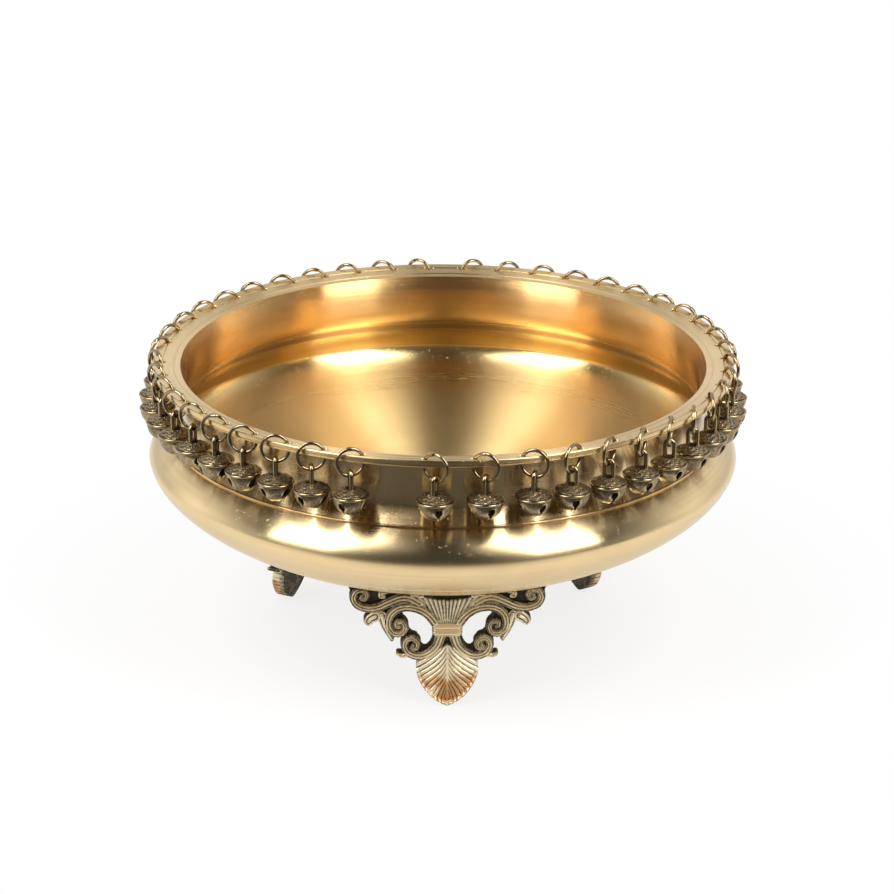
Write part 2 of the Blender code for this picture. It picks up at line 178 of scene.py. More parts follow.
def grid_surface(
    points: Array, wrap_rows: bool = False, wrap_columns: bool = False, hollow: Array | None = None
) -> Surface:
    """A surface through a grid of points.

    Args:
        points: The grid, as rows x columns x 3.
        wrap_rows: Whether the last row joins the first.
        wrap_columns: Whether each row's last point joins its first.
        hollow: The depth of recess at each point, as rows x columns.

    Returns:
        The surface.
    """
    rows, columns = points.shape[:2]
    faces = grid_faces(rows, columns, wrap_rows, wrap_columns)
    depth = np.zeros(rows * columns) if hollow is None else hollow.reshape(-1)
    return Surface(points.reshape(-1, 3), faces, depth, np.zeros(len(faces), np.int64))


def round_angles(count: int) -> Array:
    """Angles of that many evenly spaced points round a circle."""
    return np.arange(count) * TAU / count


def upright_circle(angle: Array, radius: float) -> Array:
    """Points of a circle in the XZ plane."""
    return np.column_stack([np.cos(angle), 0 * angle, np.sin(angle)]) * radius


def bell_curve(away: Array, width: float) -> Array:
    """1 where a distance is 0 and less further off, exp(-(d / w)^2)."""
    return np.exp(-((away / width) ** 2))


def about_z(angle: float) -> Matrix:
    """A turn about the Z axis."""
    return Matrix.Rotation(angle, 4, "Z")


def turned_points(radius: Array, height: Array, angle: Array) -> Array:
    """Points (radius sin angle, -radius cos angle, height), with angles from the front towards +X."""
    return np.stack([radius * np.sin(angle), -radius * np.cos(angle), height + 0 * angle], axis=-1)


def turned(profile: Array, segments: int) -> Surface:
    """A surface of revolution: each point of a profile carried once round the Z axis.

    Args:
        profile: Points (radius, height), with the outside on the left of their direction seen at +X.
        segments: Number of steps round the axis.

    Returns:
        The surface, open where the profile ends off the axis.
    """
    points = turned_points(profile[:, :1], profile[:, 1:], round_angles(segments)[None, :])
    return grid_surface(points, wrap_columns=True)


def tube(path: Array, radius: float, sides: int) -> Surface:
    """A round wire with pointed ends: a circle carried along a path that lies near the XZ plane.

    Args:
        path: Points of the middle line.
        radius: The wire's radius.
        sides: Number of points round the wire.

    Returns:
        The wire.
    """
    along = np.gradient(path, axis=0)
    along /= np.linalg.norm(along, axis=1, keepdims=True)
    side = np.cross(along, np.array([0.0, 1.0, 0.0]))
    side /= np.linalg.norm(side, axis=1, keepdims=True)
    up = np.cross(side, along)
    angle = round_angles(sides)[None, :, None]
    circle = np.cos(angle) * side[:, None] - np.sin(angle) * up[:, None]
    first, last = (np.repeat(path[None, [end]], sides, axis=1) for end in (0, -1))
    return grid_surface(np.concatenate([first, path[:, None] + radius * circle, last]), wrap_columns=True)


def smooth_path(corners: Sequence[Sequence[float]], steps: int) -> Array:
    """A Catmull-Rom curve through points: each stretch is the cubic whose ends point at their neighbours.

    Args:
        corners: The points (x, y) that the curve goes through.
        steps: Number of points on each stretch.

    Returns:
        Points along the curve, the last corner included.
    """
    ends = np.array(corners, float)
    ends = np.concatenate([2 * ends[:1] - ends[1:2], ends, 2 * ends[-1:] - ends[-2:-1]])
    before, start, end, after = ends[:-3], ends[1:-2], ends[2:-1], ends[3:]
    t = np.linspace(0, 1, steps, endpoint=False)[:, None, None]
    curve = (
        2 * start
        + (end - before) * t
        + (2 * before - 5 * start + 4 * end - after) * t**2
        + (3 * start - before - 3 * end + after) * t**3
    ) / 2
    return np.concatenate([curve.transpose(1, 0, 2).reshape(-1, 2), ends[-2:-1]])


def stretches(path: Array, x: Array, z: Array) -> Iterator[tuple[Array, Array, Array]]:
    """The straight stretches of a path, with how far points lie from each.

    Args:
        path: Points (x, z) along the path.
        x: First coordinate of the points.
        z: Second coordinate of the points.

    Yields:
        A stretch's first and last point, and the distance of every point to it.
    """
    for begin, finish in zip(path[:-1], path[1:]):
        step = finish - begin
        along = ((x - begin[0]) * step[0] + (z - begin[1]) * step[1]) / max(float(step @ step), 1e-9)
        along = np.clip(along, 0.0, 1.0)
        yield begin, finish, np.hypot(x - begin[0] - along * step[0], z - begin[1] - along * step[1])


Measure = Callable[[Array, Array], Array]


@dataclass
class PiercedSheet:
    """A sheet with two faces over a grid of parameters, cut to an outline.

    The outline is where a measure is 0, and the sheet lies where the measure is below 0. Points near the
    outline are moved onto it along the measure's slope, so the cut edge is smooth.

    Attributes:
        front: Gives the points of the outer face from the two parameters.
        back: Gives the points of the inner face.
        measure: Gives the signed distance to the outline, in the parameters' own unit.
        wrap: Whether the first parameter goes round and meets itself.
        back_hollow: The depth of recess on the inner face.
    """

    front: Measure
    back: Measure
    measure: Measure
    wrap: bool = False
    back_hollow: float = 1.0

    def snapped(self, u: Array, v: Array, reach: float) -> tuple[Array, Array]:
        """The grid's parameters with those near the outline moved onto it.

        Args:
            u: First parameter of each point, as rows x columns.
            v: Second parameter of each point.
            reach: How far from the outline a point is still moved.

        Returns:
            The two parameters after the move.
        """
        step = reach / 8
        distance = self.measure(u, v)
        slope_u = (self.measure(u + step, v) - distance) / step
        slope_v = (self.measure(u, v + step) - distance) / step
        steep = np.maximum(slope_u**2 + slope_v**2, 0.25)
        move = np.where(np.abs(distance) < reach, distance, 0.0) / steep
        return u - move * slope_u, v - move * slope_v

    def surface(self, u: Array, v: Array, reach: float, hollow: Measure) -> Surface:
        """The closed sheet over a grid.

        Args:
            u: First parameter of each grid point, as rows x columns.
            v: Second parameter of each grid point.
            reach: How far points are moved to meet the outline.
            hollow: Gives the depth of recess on the outer face.

        Returns:
            The outer face, the inner face and the walls between them.
        """
        rows, columns = u.shape
        u, v = self.snapped(u, v, reach)
        faces = grid_faces(rows, columns, False, self.wrap)
        inside = (self.measure(u, v) < reach / 50).reshape(-1)
        faces = faces[inside[faces].all(axis=1)]
        count = rows * columns
        ends = np.stack([faces, np.roll(faces, -1, axis=1)], axis=-1).reshape(-1, 2)
        keys = ends[:, 0] * count + ends[:, 1]
        border = ends[~np.isin(keys, ends[:, 1] * count + ends[:, 0])]
        walls = np.column_stack([border[:, 1], border[:, 0], border[:, 0] + count, border[:, 1] + count])
        points = np.concatenate([self.front(u, v).reshape(-1, 3), self.back(u, v).reshape(-1, 3)])
        every = np.concatenate([faces, faces[:, ::-1] + count, walls])
        used, numbers = np.unique(every, return_inverse=True)
        depth = np.concatenate([hollow(u, v).reshape(-1), np.full(count, self.back_hollow)])
        shape = numbers.reshape(-1, 4)
        return Surface(points[used], shape, depth[used], np.zeros(len(shape), np.int64))


def link(shown: bpy.types.Object) -> None:
    """Puts an object in the scene."""
    bpy.context.scene.collection.objects.link(shown)


def to_piece(
    surface: Surface, name: str, body: str, materials: Sequence[bpy.types.Material]
) -> bpy.types.Object:
    """Makes a shown piece of a surface, with closed seams and poles, riding on a body.

    Args:
        surface: The shape, in place.
        name: The piece's name.
        body: The body that it moves with.
        materials: The materials that the surface's faces name by number.

    Returns:
        The piece's object.
    """
    mesh = bpy.data.meshes.new(name)
    mesh.from_pydata(surface.points.tolist(), [], surface.faces.tolist())
    mesh.polygons.foreach_set("material_index", surface.finish.astype(np.int32))
    depth = mesh.attributes.new(HOLLOW, "FLOAT", "POINT")
    depth.data.foreach_set("value", surface.hollow.astype(np.float32))
    shape = bmesh.new()
    shape.from_mesh(mesh)
    bmesh.ops.remove_doubles(shape, verts=shape.verts, dist=SEAM)
    bmesh.ops.dissolve_degenerate(shape, edges=shape.edges, dist=SEAM)
    shape.to_mesh(mesh)
    shape.free()
    mesh.shade_smooth()
    mesh.set_sharp_from_angle(angle=SHARP_EDGE)
    for material in materials:
        mesh.materials.append(material)
    piece = bpy.data.objects.new(name, mesh)
    link(piece)
    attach(piece, body)
    log.info("%s: %d faces on %s", name, len(mesh.polygons), body)
    return piece


# Shader graphs

Number = Union[float, "Value"]


class Value:
    """A node's output, on which arithmetic adds Math nodes."""

    def __init__(self, graph: Graph, socket: bpy.types.NodeSocket) -> None:
        """Wraps a socket of a graph."""
        self.graph = graph
        self.socket = socket

    def math(self, operation: str, *others: Number) -> Value:
        """This value and others through a Math node.

        Args:
            operation: The Math node's operation.
            others: The values that follow this one.

        Returns:
            The result.
        """
        return self.graph.node("Math", {"operation": operation}, dict(enumerate((self, *others))))

    def __add__(self, other: Number) -> Value:
        """The sum."""
        return self.math("ADD", other)

    def __mul__(self, other: Number) -> Value:
        """The product."""
        return self.math("MULTIPLY", other)

    def __sub__(self, other: Number) -> Value:
        """The difference."""
        return self.math("SUBTRACT", other)

    def __rsub__(self, other: Number) -> Value:
        """The difference from a number."""
        return self.graph.node("Math", {"operation": "SUBTRACT"}, {0: other, 1: self})

    def __pow__(self, other: Number) -> Value:
        """The power."""
        return self.math("POWER", other)

    def limited(self) -> Value:
        """This value held between 0 and 1."""
        return self.graph.node("Clamp", {}, {"Value": self})

    def rise(self, low: float, high: float) -> Value:
        """A smooth step from 0 at low to 1 at high, or down from 1 where low is the greater."""
        settings = {"interpolation_type": "SMOOTHSTEP"}
        return self.graph.node("MapRange", settings, {"Value": self, "From Min": low, "From Max": high})

    def between(self, levels: Levels) -> Value:
        """Up from 0 to 1 over the first two levels, and back over the last two."""
        return self.rise(levels[0], levels[1]) * self.rise(levels[3], levels[2])


Input = Union[Value, float, Sequence[float]]


class Graph:
    """The node tree of a material or of the world."""

    def __init__(self, tree: bpy.types.NodeTree) -> None:
        """Empties a tree to build in."""
        self.tree = tree
        tree.nodes.clear()

    def node(
        self, kind: str, settings: Mapping[str, Any], inputs: Mapping[Any, Input], output: Any = 0
    ) -> Value:
        """Adds a node.

        Args:
            kind: The node's type, without its ShaderNode prefix.
            settings: Its properties, set first; a ramp's are its stops, as (place, colour) pairs.
            inputs: Values or links by socket name or number.
            output: Which of its outputs is wanted.

        Returns:
            That output.
        """
        made = self.tree.nodes.new("ShaderNode" + kind)
        for name, setting in settings.items():
            if name == "stops":
                self.set_stops(made.color_ramp, setting)
            else:
                setattr(made, name, setting)
        for key, given in inputs.items():
            if isinstance(given, Value):
                self.tree.links.new(given.socket, made.inputs[key])
            else:
                made.inputs[key].default_value = given
        return Value(self, made.outputs[output]) if made.outputs else Value(self, made.inputs[0])

    @staticmethod
    def set_stops(ramp: bpy.types.ColorRamp, stops: Sequence[tuple[float, Sequence[float]]]) -> None:
        """Puts stops on a colour ramp.

        Args:
            ramp: The ramp.
            stops: Two or more stops, as (place, colour) pairs.
        """
        while len(ramp.elements) < len(stops):
            ramp.elements.new(1.0)
        for element, (place, colour) in zip(ramp.elements, stops):
            element.position = place
            element.color = (*colour, 1.0)

    def mixed(self, share: Value, low: Input, high: Input) -> Value:
        """A colour between two, by a share from 0 to 1."""
        settings = {"data_type": "RGBA"}
        return self.node("Mix", settings, {0: share, 6: opaque(low), 7: opaque(high)}, output=2)

    def noise(self, vector: Value, scale: float, detail: float = 2.0) -> Value:
        """Soft noise about 0.5 on a vector."""
        return self.node("TexNoise", {}, {"Vector": vector, "Scale": scale, "Detail": detail})

    def place(self) -> Value:
        """The object coordinates, which are the frame's metres."""
        return self.node("TexCoord", {}, {}, output="Object")

    def recess(self) -> Value:
        """The depth of recess that the surface carries."""
        return self.node("Attribute", {"attribute_name": HOLLOW}, {}, output="Fac")

    def parts(self, vector: Value) -> tuple[Value, Value, Value]:
        """The X, Y and Z of a vector."""
        split = self.node("SeparateXYZ", {}, {0: vector}).socket.node
        return tuple(Value(self, split.outputs[axis]) for axis in "XYZ")


def opaque(colour: Input) -> Input:
    """A colour of three numbers with its fourth, or a link as it is."""
    return colour if isinstance(colour, Value) else (*colour, 1.0)


def new_material(name: str) -> tuple[bpy.types.Material, Graph]:
    """Makes a material that is still to be built.

    Args:
        name: Its name.

    Returns:
        The material with an empty tree, and the graph to build it in.
    """
    material = bpy.data.materials.new(name)
    material.use_nodes = True
    return material, Graph(material.node_tree)


def finish_metal(graph: Graph, inputs: Mapping[str, Input]) -> None:
    """Ends a graph in a Principled BSDF of these inputs."""
    shader = graph.node("BsdfPrincipled", {}, inputs, output="BSDF")
    graph.node("OutputMaterial", {}, {"Surface": shader})


@dataclass(frozen=True)
class PolishedBrass:
    """Lathe-turned brass, buffed bright: fine lines round the axis, soft stains, a worn lustre and painted
    inner shade.

    Attributes:
        clean: Colour of the bare metal.
        stained: Colour where handling has left a warm stain.
        painted_inside_tint: Colour of the dish inside, a deeper yellow that paints in the light bounced
            round the bowl.
        painted_wall_shade: Colour of the wall inside, redder and darker: painted shade of the light bounced
            in the bowl.
        spot_brown_and_crease_shade: Colour of the brown spots by the shoulder line, and of the painted
            shade line in the inner crease.
        satin: What the scoured dish adds to the roughness.
        lines: How many fine and broad turning lines there are to the metre.
        line_roughness: How far these change the roughness.
        brushing: How far the lines draw out a highlight, turned across them by brush_turn.
        stain_scale: How many stains there are to the metre, and likewise spots and scratches.
        rim_levels: Heights over which the rim's stain sets in, and likewise the wall's painted shade and
            the dish's satin.
        crease_levels: Heights over which the painted shade line of the crease comes and goes, and likewise
            the spots.
        neck_radii: Radii over which the spots set in.
    """

    clean: Colour = (0.80, 0.615, 0.34)
    stained: Colour = (0.73, 0.51, 0.235)
    painted_inside_tint: Colour = (0.795, 0.605, 0.285)
    painted_wall_shade: Colour = (0.80, 0.515, 0.22)
    spot_brown_and_crease_shade: Colour = (0.36, 0.20, 0.085)
    roughness: float = 0.215
    satin: float = 0.135
    lines: Span = (1300.0, 300.0)
    line_roughness: Span = (0.10, 0.08)
    line_depth: float = 0.02 * MM
    brushing: float = 1.0
    brush_turn: float = 0.25
    stain_scale: float = 23.0
    spot_scale: float = 60.0
    scratch_scale: float = 800.0
    rim_levels: Span = (122 * MM, 126 * MM)
    wall_levels: Span = (85 * MM, 108 * MM)
    dish_levels: Span = (84 * MM, 66 * MM)
    crease_levels: Levels = (98.5 * MM, 100.5 * MM, 102 * MM, 104.5 * MM)
    shoulder_levels: Levels = (88 * MM, 97 * MM, 104 * MM, 122 * MM)
    neck_radii: Span = (112.5 * MM, 113.5 * MM)

    def material(self) -> bpy.types.Material:
        """Builds the material.

        Returns:
            The material.
        """
        material, graph = new_material(Slot.POLISHED.value)
        place = graph.place()
        x, y, z = graph.parts(place)
        radius = (x * x + y * y) ** 0.5
        fine, broad = (self.turning_lines(graph, (x, y, z), radius, scale) for scale in self.lines)
        within = graph.recess()
        stain = graph.noise(place, self.stain_scale, 3.0).rise(0.45, 0.8) + z.rise(*self.rim_levels) * 0.7
        streaks = fine.rise(0.5, 0.72) * 0.35
        shoulder = z.between(self.shoulder_levels) * radius.rise(*self.neck_radii) * (1 - within)
        # A dark line painted along the inner crease: painted shade where the wall turns under.
        crease = within * z.between(self.crease_levels)
        # The spots carry this painted crease shade as well as the brown spots on the neck.
        spots = graph.noise(place, self.spot_scale, 2.0).rise(0.47, 0.75) * shoulder * 0.7 + crease
        # Painted light: the inside takes a deeper yellow for the light bounced round the bowl, and the wall
        # a redder, darker one for its shade.
        colour = graph.mixed(within, self.clean, self.painted_inside_tint)
        colour = graph.mixed(within * z.rise(*self.wall_levels), colour, self.painted_wall_shade)
        colour = graph.mixed((stain * 0.45 + streaks).limited() * (1 - within * 0.6), colour, self.stained)
        # The spots and the painted crease shade take the darker brown.
        colour = graph.mixed((spots * 0.8).limited(), colour, self.spot_brown_and_crease_shade)
        lines = (fine - 0.5) * self.line_roughness[0] + (broad - 0.5) * self.line_roughness[1]
        satin = within * z.rise(*self.dish_levels) * self.satin
        rough = lines + stain * 0.04 + spots * 0.15 + satin + self.roughness
        scratches = graph.noise(place, self.scratch_scale, 1.0).rise(0.70, 0.76)
        relief = broad + fine * 0.35 - scratches * 1.5
        bump = graph.node("Bump", {}, {"Strength": 1.0, "Distance": self.line_depth, "Height": relief})
        finish_metal(
            graph,
            {
                "Base Color": colour,
                "Metallic": 1.0,
                "Roughness": rough.limited(),
                "Anisotropic": self.brushing,
                "Anisotropic Rotation": self.brush_turn,
                "Normal": bump,
            },
        )
        return material

    @staticmethod
    def turning_lines(graph: Graph, place: Sequence[Value], radius: Value, scale: float) -> Value:
        """Lines round the axis: noise on (radius, height, cos angle, sin angle), stretched along the angle.

        They run round the bowl with no seam, and fade in and out.

        Args:
            graph: The material's graph.
            place: The object coordinates.
            radius: The distance from the axis.
            scale: How many lines there are to the metre.

        Returns:
            Noise about 0.5.
        """
        x, y, z = place
        share = radius.math("MAXIMUM", 1e-4)
        along_x, along_y = (side.math("DIVIDE", share) * 0.8 for side in (x, y))
        vector = graph.node("CombineXYZ", {}, {0: radius * scale, 1: z * scale, 2: along_x})
        inputs = {"Vector": vector, "W": along_y, "Scale": 1.0, "Detail": 3.0}
        return graph.node("TexNoise", {"noise_dimensions": "4D"}, inputs)


@dataclass(frozen=True)
class AntiqueBrass:
    """Cast brass, blackened and then rubbed back: bright on the heights and dark in the recesses.

    Attributes:
        name: The material's name.
        bright: Colour of the rubbed heights.
        patina: Colour left in the recesses.
        roughness: Roughness of the rubbed heights.
        skin: Share of the surface that old lacquer and dirt make dull.
        copper: Colour of the warm patches low on a foot.
        copper_height: Height above the floor up to which those patches reach.
        copper_depths: Depths of recess over which they come and go.
        grain_scale: How many grains there are to the metre, and likewise blotches.
    """

    name: str
    bright: Colour
    patina: Colour
    roughness: float
    skin: float = 0.0
    copper: Colour = (0.54, 0.235, 0.055)
    copper_height: float = 16 * MM
    copper_depths: Levels = (-0.3, 0.0, 0.5, 0.7)
    grain_scale: float = 900.0
    blotch_scale: float = 140.0
    grain_depth: float = 0.1 * MM

    def material(self) -> bpy.types.Material:
        """Builds the material from the surface's own depth of recess, grain and blotches.

        Returns:
            The material.
        """
        material, graph = new_material(self.name)
        place = graph.place()
        z = graph.parts(place)[2]
        depth = graph.recess()
        grain = graph.noise(place, self.grain_scale, 3.0)
        blotch = graph.noise(place, self.blotch_scale, 3.0)
        dark = (depth + (grain - 0.5) * 0.5 + (blotch - 0.5) * 0.55).rise(0.22, 0.82)
        low = z.rise(self.copper_height, self.copper_height * 0.7) * blotch.rise(0.3, 0.5)
        metal = graph.mixed(low * depth.between(self.copper_depths) * 0.85, self.bright, self.copper)
        rough = dark * 0.34 + grain * 0.16 + self.roughness
        relief = {"Strength": 0.25, "Distance": self.grain_depth, "Height": grain + blotch}
        finish_metal(
            graph,
            {
                "Base Color": graph.mixed(dark, metal, self.patina),
                "Metallic": 1 - self.skin - dark * 0.35,
                "Roughness": rough.limited(),
                "Normal": graph.node("Bump", {}, relief),
            },
        )
        return material


RUBBED_CASTING = AntiqueBrass("rubbed_casting", (0.92, 0.79, 0.54), (0.035, 0.022, 0.013), 0.26, skin=0.42)
RING_WIRE = AntiqueBrass("ring_wire_brass", (0.36, 0.28, 0.16), (0.05, 0.035, 0.02), 0.08)
DARK_BELL = AntiqueBrass("dark_bell_brass", (0.40, 0.305, 0.17), (0.020, 0.014, 0.009), 0.13)


@dataclass(frozen=True)
class IronShot:
    """Dull iron of the pellets."""

    clean: Colour = (0.30, 0.29, 0.28)
    rusted: Colour = (0.16, 0.085, 0.045)
    bloom_scale: float = 700.0

    def material(self) -> bpy.types.Material:
        """Builds the material: grey iron with brown bloom.

        Returns:
            The material.
        """
        material, graph = new_material(Slot.IRON.value)
        bloom = graph.noise(graph.place(), self.bloom_scale, 4.0).rise(0.45, 0.65)
        finish_metal(
            graph,
            {
                "Base Color": graph.mixed(bloom, self.clean, self.rusted),
                "Metallic": 1 - bloom * 0.6,
                "Roughness": bloom * 0.25 + 0.45,
            },
        )
        return material


# The bowl


def arc(centre: Span, radius: float, first: float, last: float, steps: int) -> Array:
    """Points of an arc in a section, from one angle in degrees to another."""
    angle = np.radians(np.linspace(first, last, steps))
    return np.column_stack([centre[0] + radius * np.cos(angle), centre[1] + radius * np.sin(angle)])


def grooved(profile: Array, at: Sequence[float], width: float, depth: float) -> Array:
    """A profile with narrow grooves: each point near a groove sinks by a bell curve of its distance.

    Args:
        profile: Points (radius, height).
        at: The radius of each groove.
        width: Half the width of a groove.
        depth: How far it goes down, or up where this is below 0.

    Returns:
        The sunk profile.
    """
    sunk = profile.copy()
    away = profile[:, :1] - np.array(at)[None, :]
    sunk[:, 1] -= depth * bell_curve(away, width).sum(axis=1)
    return sunk


@dataclass
class TurnedBowl:
    """The bowl: a lens-shaped belly, a waisted neck and a flat rim that slopes inwards, drilled for rings.

    Attributes:
        belly_power: The power of the belly's superellipse.
        neck_sweep: Height over which the neck's foot spreads to the shoulder.
        inner_neck: Points (radius, height) of the neck's inside, in millimetres.
        notch: Points of the line cut in the rim's edge, in millimetres out from it and up from its bottom.
        hole_reach: How near a hole's edge the rim's points are drawn to it.
    """

    body: str = "bowl"
    belly_radius: float = 127.0 * MM
    belly_height: float = 85.8 * MM
    belly_depth: float = 50.2 * MM
    belly_power: float = 1.66
    base_radius: float = 62.0 * MM
    base_flat: float = 57.66 * MM
    base_groove: float = 111.0 * MM
    base_groove_depth: float = 0.75 * MM
    groove_width: float = 0.3 * MM
    shoulder_radius: float = 118.2 * MM
    shoulder_height: float = 96.8 * MM
    shoulder_line: float = 0.5 * MM
    bead: float = 0.35 * MM
    neck_radius: float = 113.2 * MM
    neck_sweep: float = 6.6 * MM
    neck_power: float = 1.3
    edge_radius: float = 124.3 * MM
    edge_thickness: float = 3.0 * MM
    edge_round: float = 0.5 * MM
    rim_height: float = 128.6 * MM
    rim_slope: float = math.radians(12)
    rim_grooves: Span = (115.4 * MM, 120.5 * MM)
    rim_groove_depth: float = 0.35 * MM
    notch: Corners = ((0.0, 1.15), (-0.45, 0.9), (-0.45, 0.75), (0.0, 0.55))
    lip_radius: float = 112.8 * MM
    fillet: float = 2.4 * MM
    hole_radius: float = 1.75 * MM
    hole_reach: float = 0.3 * MM
    dish_radius: float = 122.6 * MM
    dish_height: float = 89.0 * MM
    dish_depth: float = 36.0 * MM
    inner_neck: Corners = (
        (122.6, 89.0), (121.2, 92.4), (117.0, 97.4), (112.4, 103.4), (110.6, 105.4), (109.9, 107.6),
        (109.8, 111.0), (110.2, 115.5), (111.1, 120.5),
    )
    rows: int = 80
    segments: int = 320

    @property
    def flange_bottom(self) -> float:
        """Height of the underside of the rim."""
        return self.rim_height - self.edge_thickness

    def rim_top(self, radius: Array | float) -> Array | float:
        """Height of the rim's top at a radius."""
        return self.rim_height - (self.edge_radius - radius) * math.tan(self.rim_slope)

    def under(self, radius: Array) -> Array:
        """Height of the belly's underside: a superellipse of the radius."""
        share = np.clip(radius / self.belly_radius, 0.0, 1.0) ** self.belly_power
        return self.belly_height - self.belly_depth * (1 - share) ** (1 / self.belly_power)

    def belly(self, widest: float, narrow: float, steps: int) -> Array:
        """A superellipse of unit depth, r = R cos(t)^(2/p) and d = sin(t)^(2/p).

        Args:
            widest: Its largest radius.
            narrow: The radius where it ends.
            steps: Number of points.

        Returns:
            Points (radius, way from the widest level), widest first.
        """
        last = math.acos((narrow / widest) ** (self.belly_power / 2))
        turn = np.linspace(0, last, steps)
        power = 2 / self.belly_power
        return np.column_stack([widest * np.cos(turn) ** power, np.sin(turn) ** power])

    def outside(self) -> Array:
        """The section from under the rim down the neck, over the bead and round the belly to its base.

        Returns:
            Points (radius, height).
        """
        flare = self.shoulder_radius - self.neck_radius
        way = np.linspace(0, 1, 16)
        line_height = self.shoulder_height + self.shoulder_line / 2
        top_of_bead = self.shoulder_height + self.shoulder_line + 2 * self.bead
        neck = np.column_stack([
            self.neck_radius + flare * way**self.neck_power,
            top_of_bead + self.neck_sweep * (1 - way),
        ])
        cove_middle = (self.neck_radius + self.fillet, self.flange_bottom - self.fillet)
        cove = arc(cove_middle, self.fillet, 90, 180, 8)
        straight = np.linspace(cove[-1], neck[0], 6)[1:-1]
        bead = arc((self.shoulder_radius, top_of_bead - self.bead), self.bead, 80, -75, 8)
        line = np.array([[self.shoulder_radius - self.shoulder_line, line_height]])
        shoulder = self.belly(self.belly_radius, self.shoulder_radius, 20)[::-1]
        shoulder[:, 1] *= (self.shoulder_height - self.belly_height) / shoulder[0, 1]
        shoulder[:, 1] += self.belly_height
        rows = np.concatenate([
            self.belly(self.belly_radius, self.base_radius, self.rows)[:, 0],
            self.base_groove + np.linspace(-3, 3, 13) * self.groove_width,
        ])
        rows = np.sort(rows)[::-1]
        below = np.column_stack([rows, self.under(rows)])
        below = grooved(below, [self.base_groove], self.groove_width, -self.base_groove_depth)
        base = np.array([[self.base_flat, below[-1, 1]], [0.0, below[-1, 1]]])
        return np.concatenate([cove, straight, neck, bead, line, shoulder[:-1], below, base])

    def inside(self) -> Array:
        """The section from the middle of the floor over the dish, up the waisted neck to the lip.

        The dish is a quarter of the belly's superellipse, and above it a smooth curve goes through a few
        points of the neck.

        Returns:
            Points (radius, height).
        """
        dish = self.belly(self.dish_radius, 0.0, self.rows)[::-1]
        dish[:, 1] = self.dish_height - self.dish_depth * dish[:, 1]
        neck = smooth_path([*np.array(self.inner_neck) * MM, self.lip_edge()], 8)
        return np.concatenate([dish[:-1], neck])

    def lip_edge(self) -> Array:
        """The inner edge of the rim in the section."""
        return np.array([self.lip_radius, self.rim_top(self.lip_radius)])

    def body_surface(self) -> Surface:
        """The bowl below its rim, closed under the rim from the lip to the neck.

        Returns:
            The surface, which counts as recessed inside the bowl, where the material paints bounced light
            and shade.
        """
        inside, outside = self.inside(), self.outside()
        surface = turned(np.concatenate([inside, outside])[::-1], self.segments)
        surface.hollow = np.repeat([0.0] * len(outside) + [1.0] * len(inside), self.segments)
        return surface

    def rim_section(self) -> Array:
        """The section over the rim, from its inner edge across the top and down to the neck's cove.

        Returns:
            Points (radius, height).
        """
        corner = self.edge_radius - self.edge_round
        rows = np.linspace(self.lip_radius, corner, 50)
        top = np.column_stack([rows, self.rim_top(rows)])
        top = grooved(top, self.rim_grooves, self.groove_width, self.rim_groove_depth)
        upper = arc((corner, self.rim_top(corner) - self.edge_round), self.edge_round, 78, 0, 5)
        lower = arc((corner, self.flange_bottom + self.edge_round), self.edge_round, 0, -90, 5)
        notch = np.array(self.notch) * MM + [self.edge_radius, self.flange_bottom]
        radii = np.linspace(corner, self.neck_radius + self.fillet, 12)[1:]
        under = np.column_stack([radii, np.full(len(radii), self.flange_bottom)])
        return np.concatenate([top, upper, notch, lower, under])

    def rim_surface(self, holes: Array) -> Surface:
        """The rim with a pit for each ring: points near a hole's edge are drawn to it, those inside sink.

        Args:
            holes: The middle of each hole, as (angle, radius).

        Returns:
            The surface.
        """
        section = self.rim_section()[::-1]
        spread = np.concatenate([np.linspace(-1.6, 1.6, 13), [-2.6, 2.6, -3.8, 3.8]]) * self.hole_radius
        angle = np.unique(np.round((holes[:, :1] + spread[None] / holes[:, 1:]).reshape(-1) % TAU, 6))
        points = turned_points(section[:, :1], section[:, 1:], angle[None, :])
        flat = points[..., :2]
        centres = turned_points(holes[:, 1], np.zeros(len(holes)), holes[:, 0])[:, :2]
        nearest = np.abs((angle[:, None] - holes[None, :, 0] + math.pi) % TAU - math.pi).argmin(axis=1)
        away = flat - centres[nearest][None]
        distance = np.linalg.norm(away, axis=-1, keepdims=True)
        drawn = np.where(np.abs(distance - self.hole_radius) < self.hole_reach, self.hole_radius, distance)
        flat[:] = centres[nearest][None] + away * drawn / np.maximum(distance, 1e-9)
        within = drawn[..., 0] < self.hole_radius - self.hole_reach / 2
        middle = self.flange_bottom + self.edge_thickness / 2
        points[..., 2] = np.where(within, middle, points[..., 2])
        # Points inside a hole count as recessed, so the polished material gives the pits its painted inside
        # shade.
        return grid_surface(points, wrap_rows=True, wrap_columns=True, hollow=within.astype(float))

    def build(self, holes: Array, metal: bpy.types.Material) -> None:
        """Makes the two pieces of the bowl.

        Args:
            holes: The middle of each hole, as (angle, radius).
            metal: Its finish.
        """
        for name, surface in (("bowl_body", self.body_surface()), ("bowl_rim", self.rim_surface(holes))):
            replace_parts(to_piece(surface, name, self.body, [metal]), "bowl")


# The feet

# A layer of relief: its height, where it is, and its depth of recess.
Layer = tuple[Array, Array, Array]


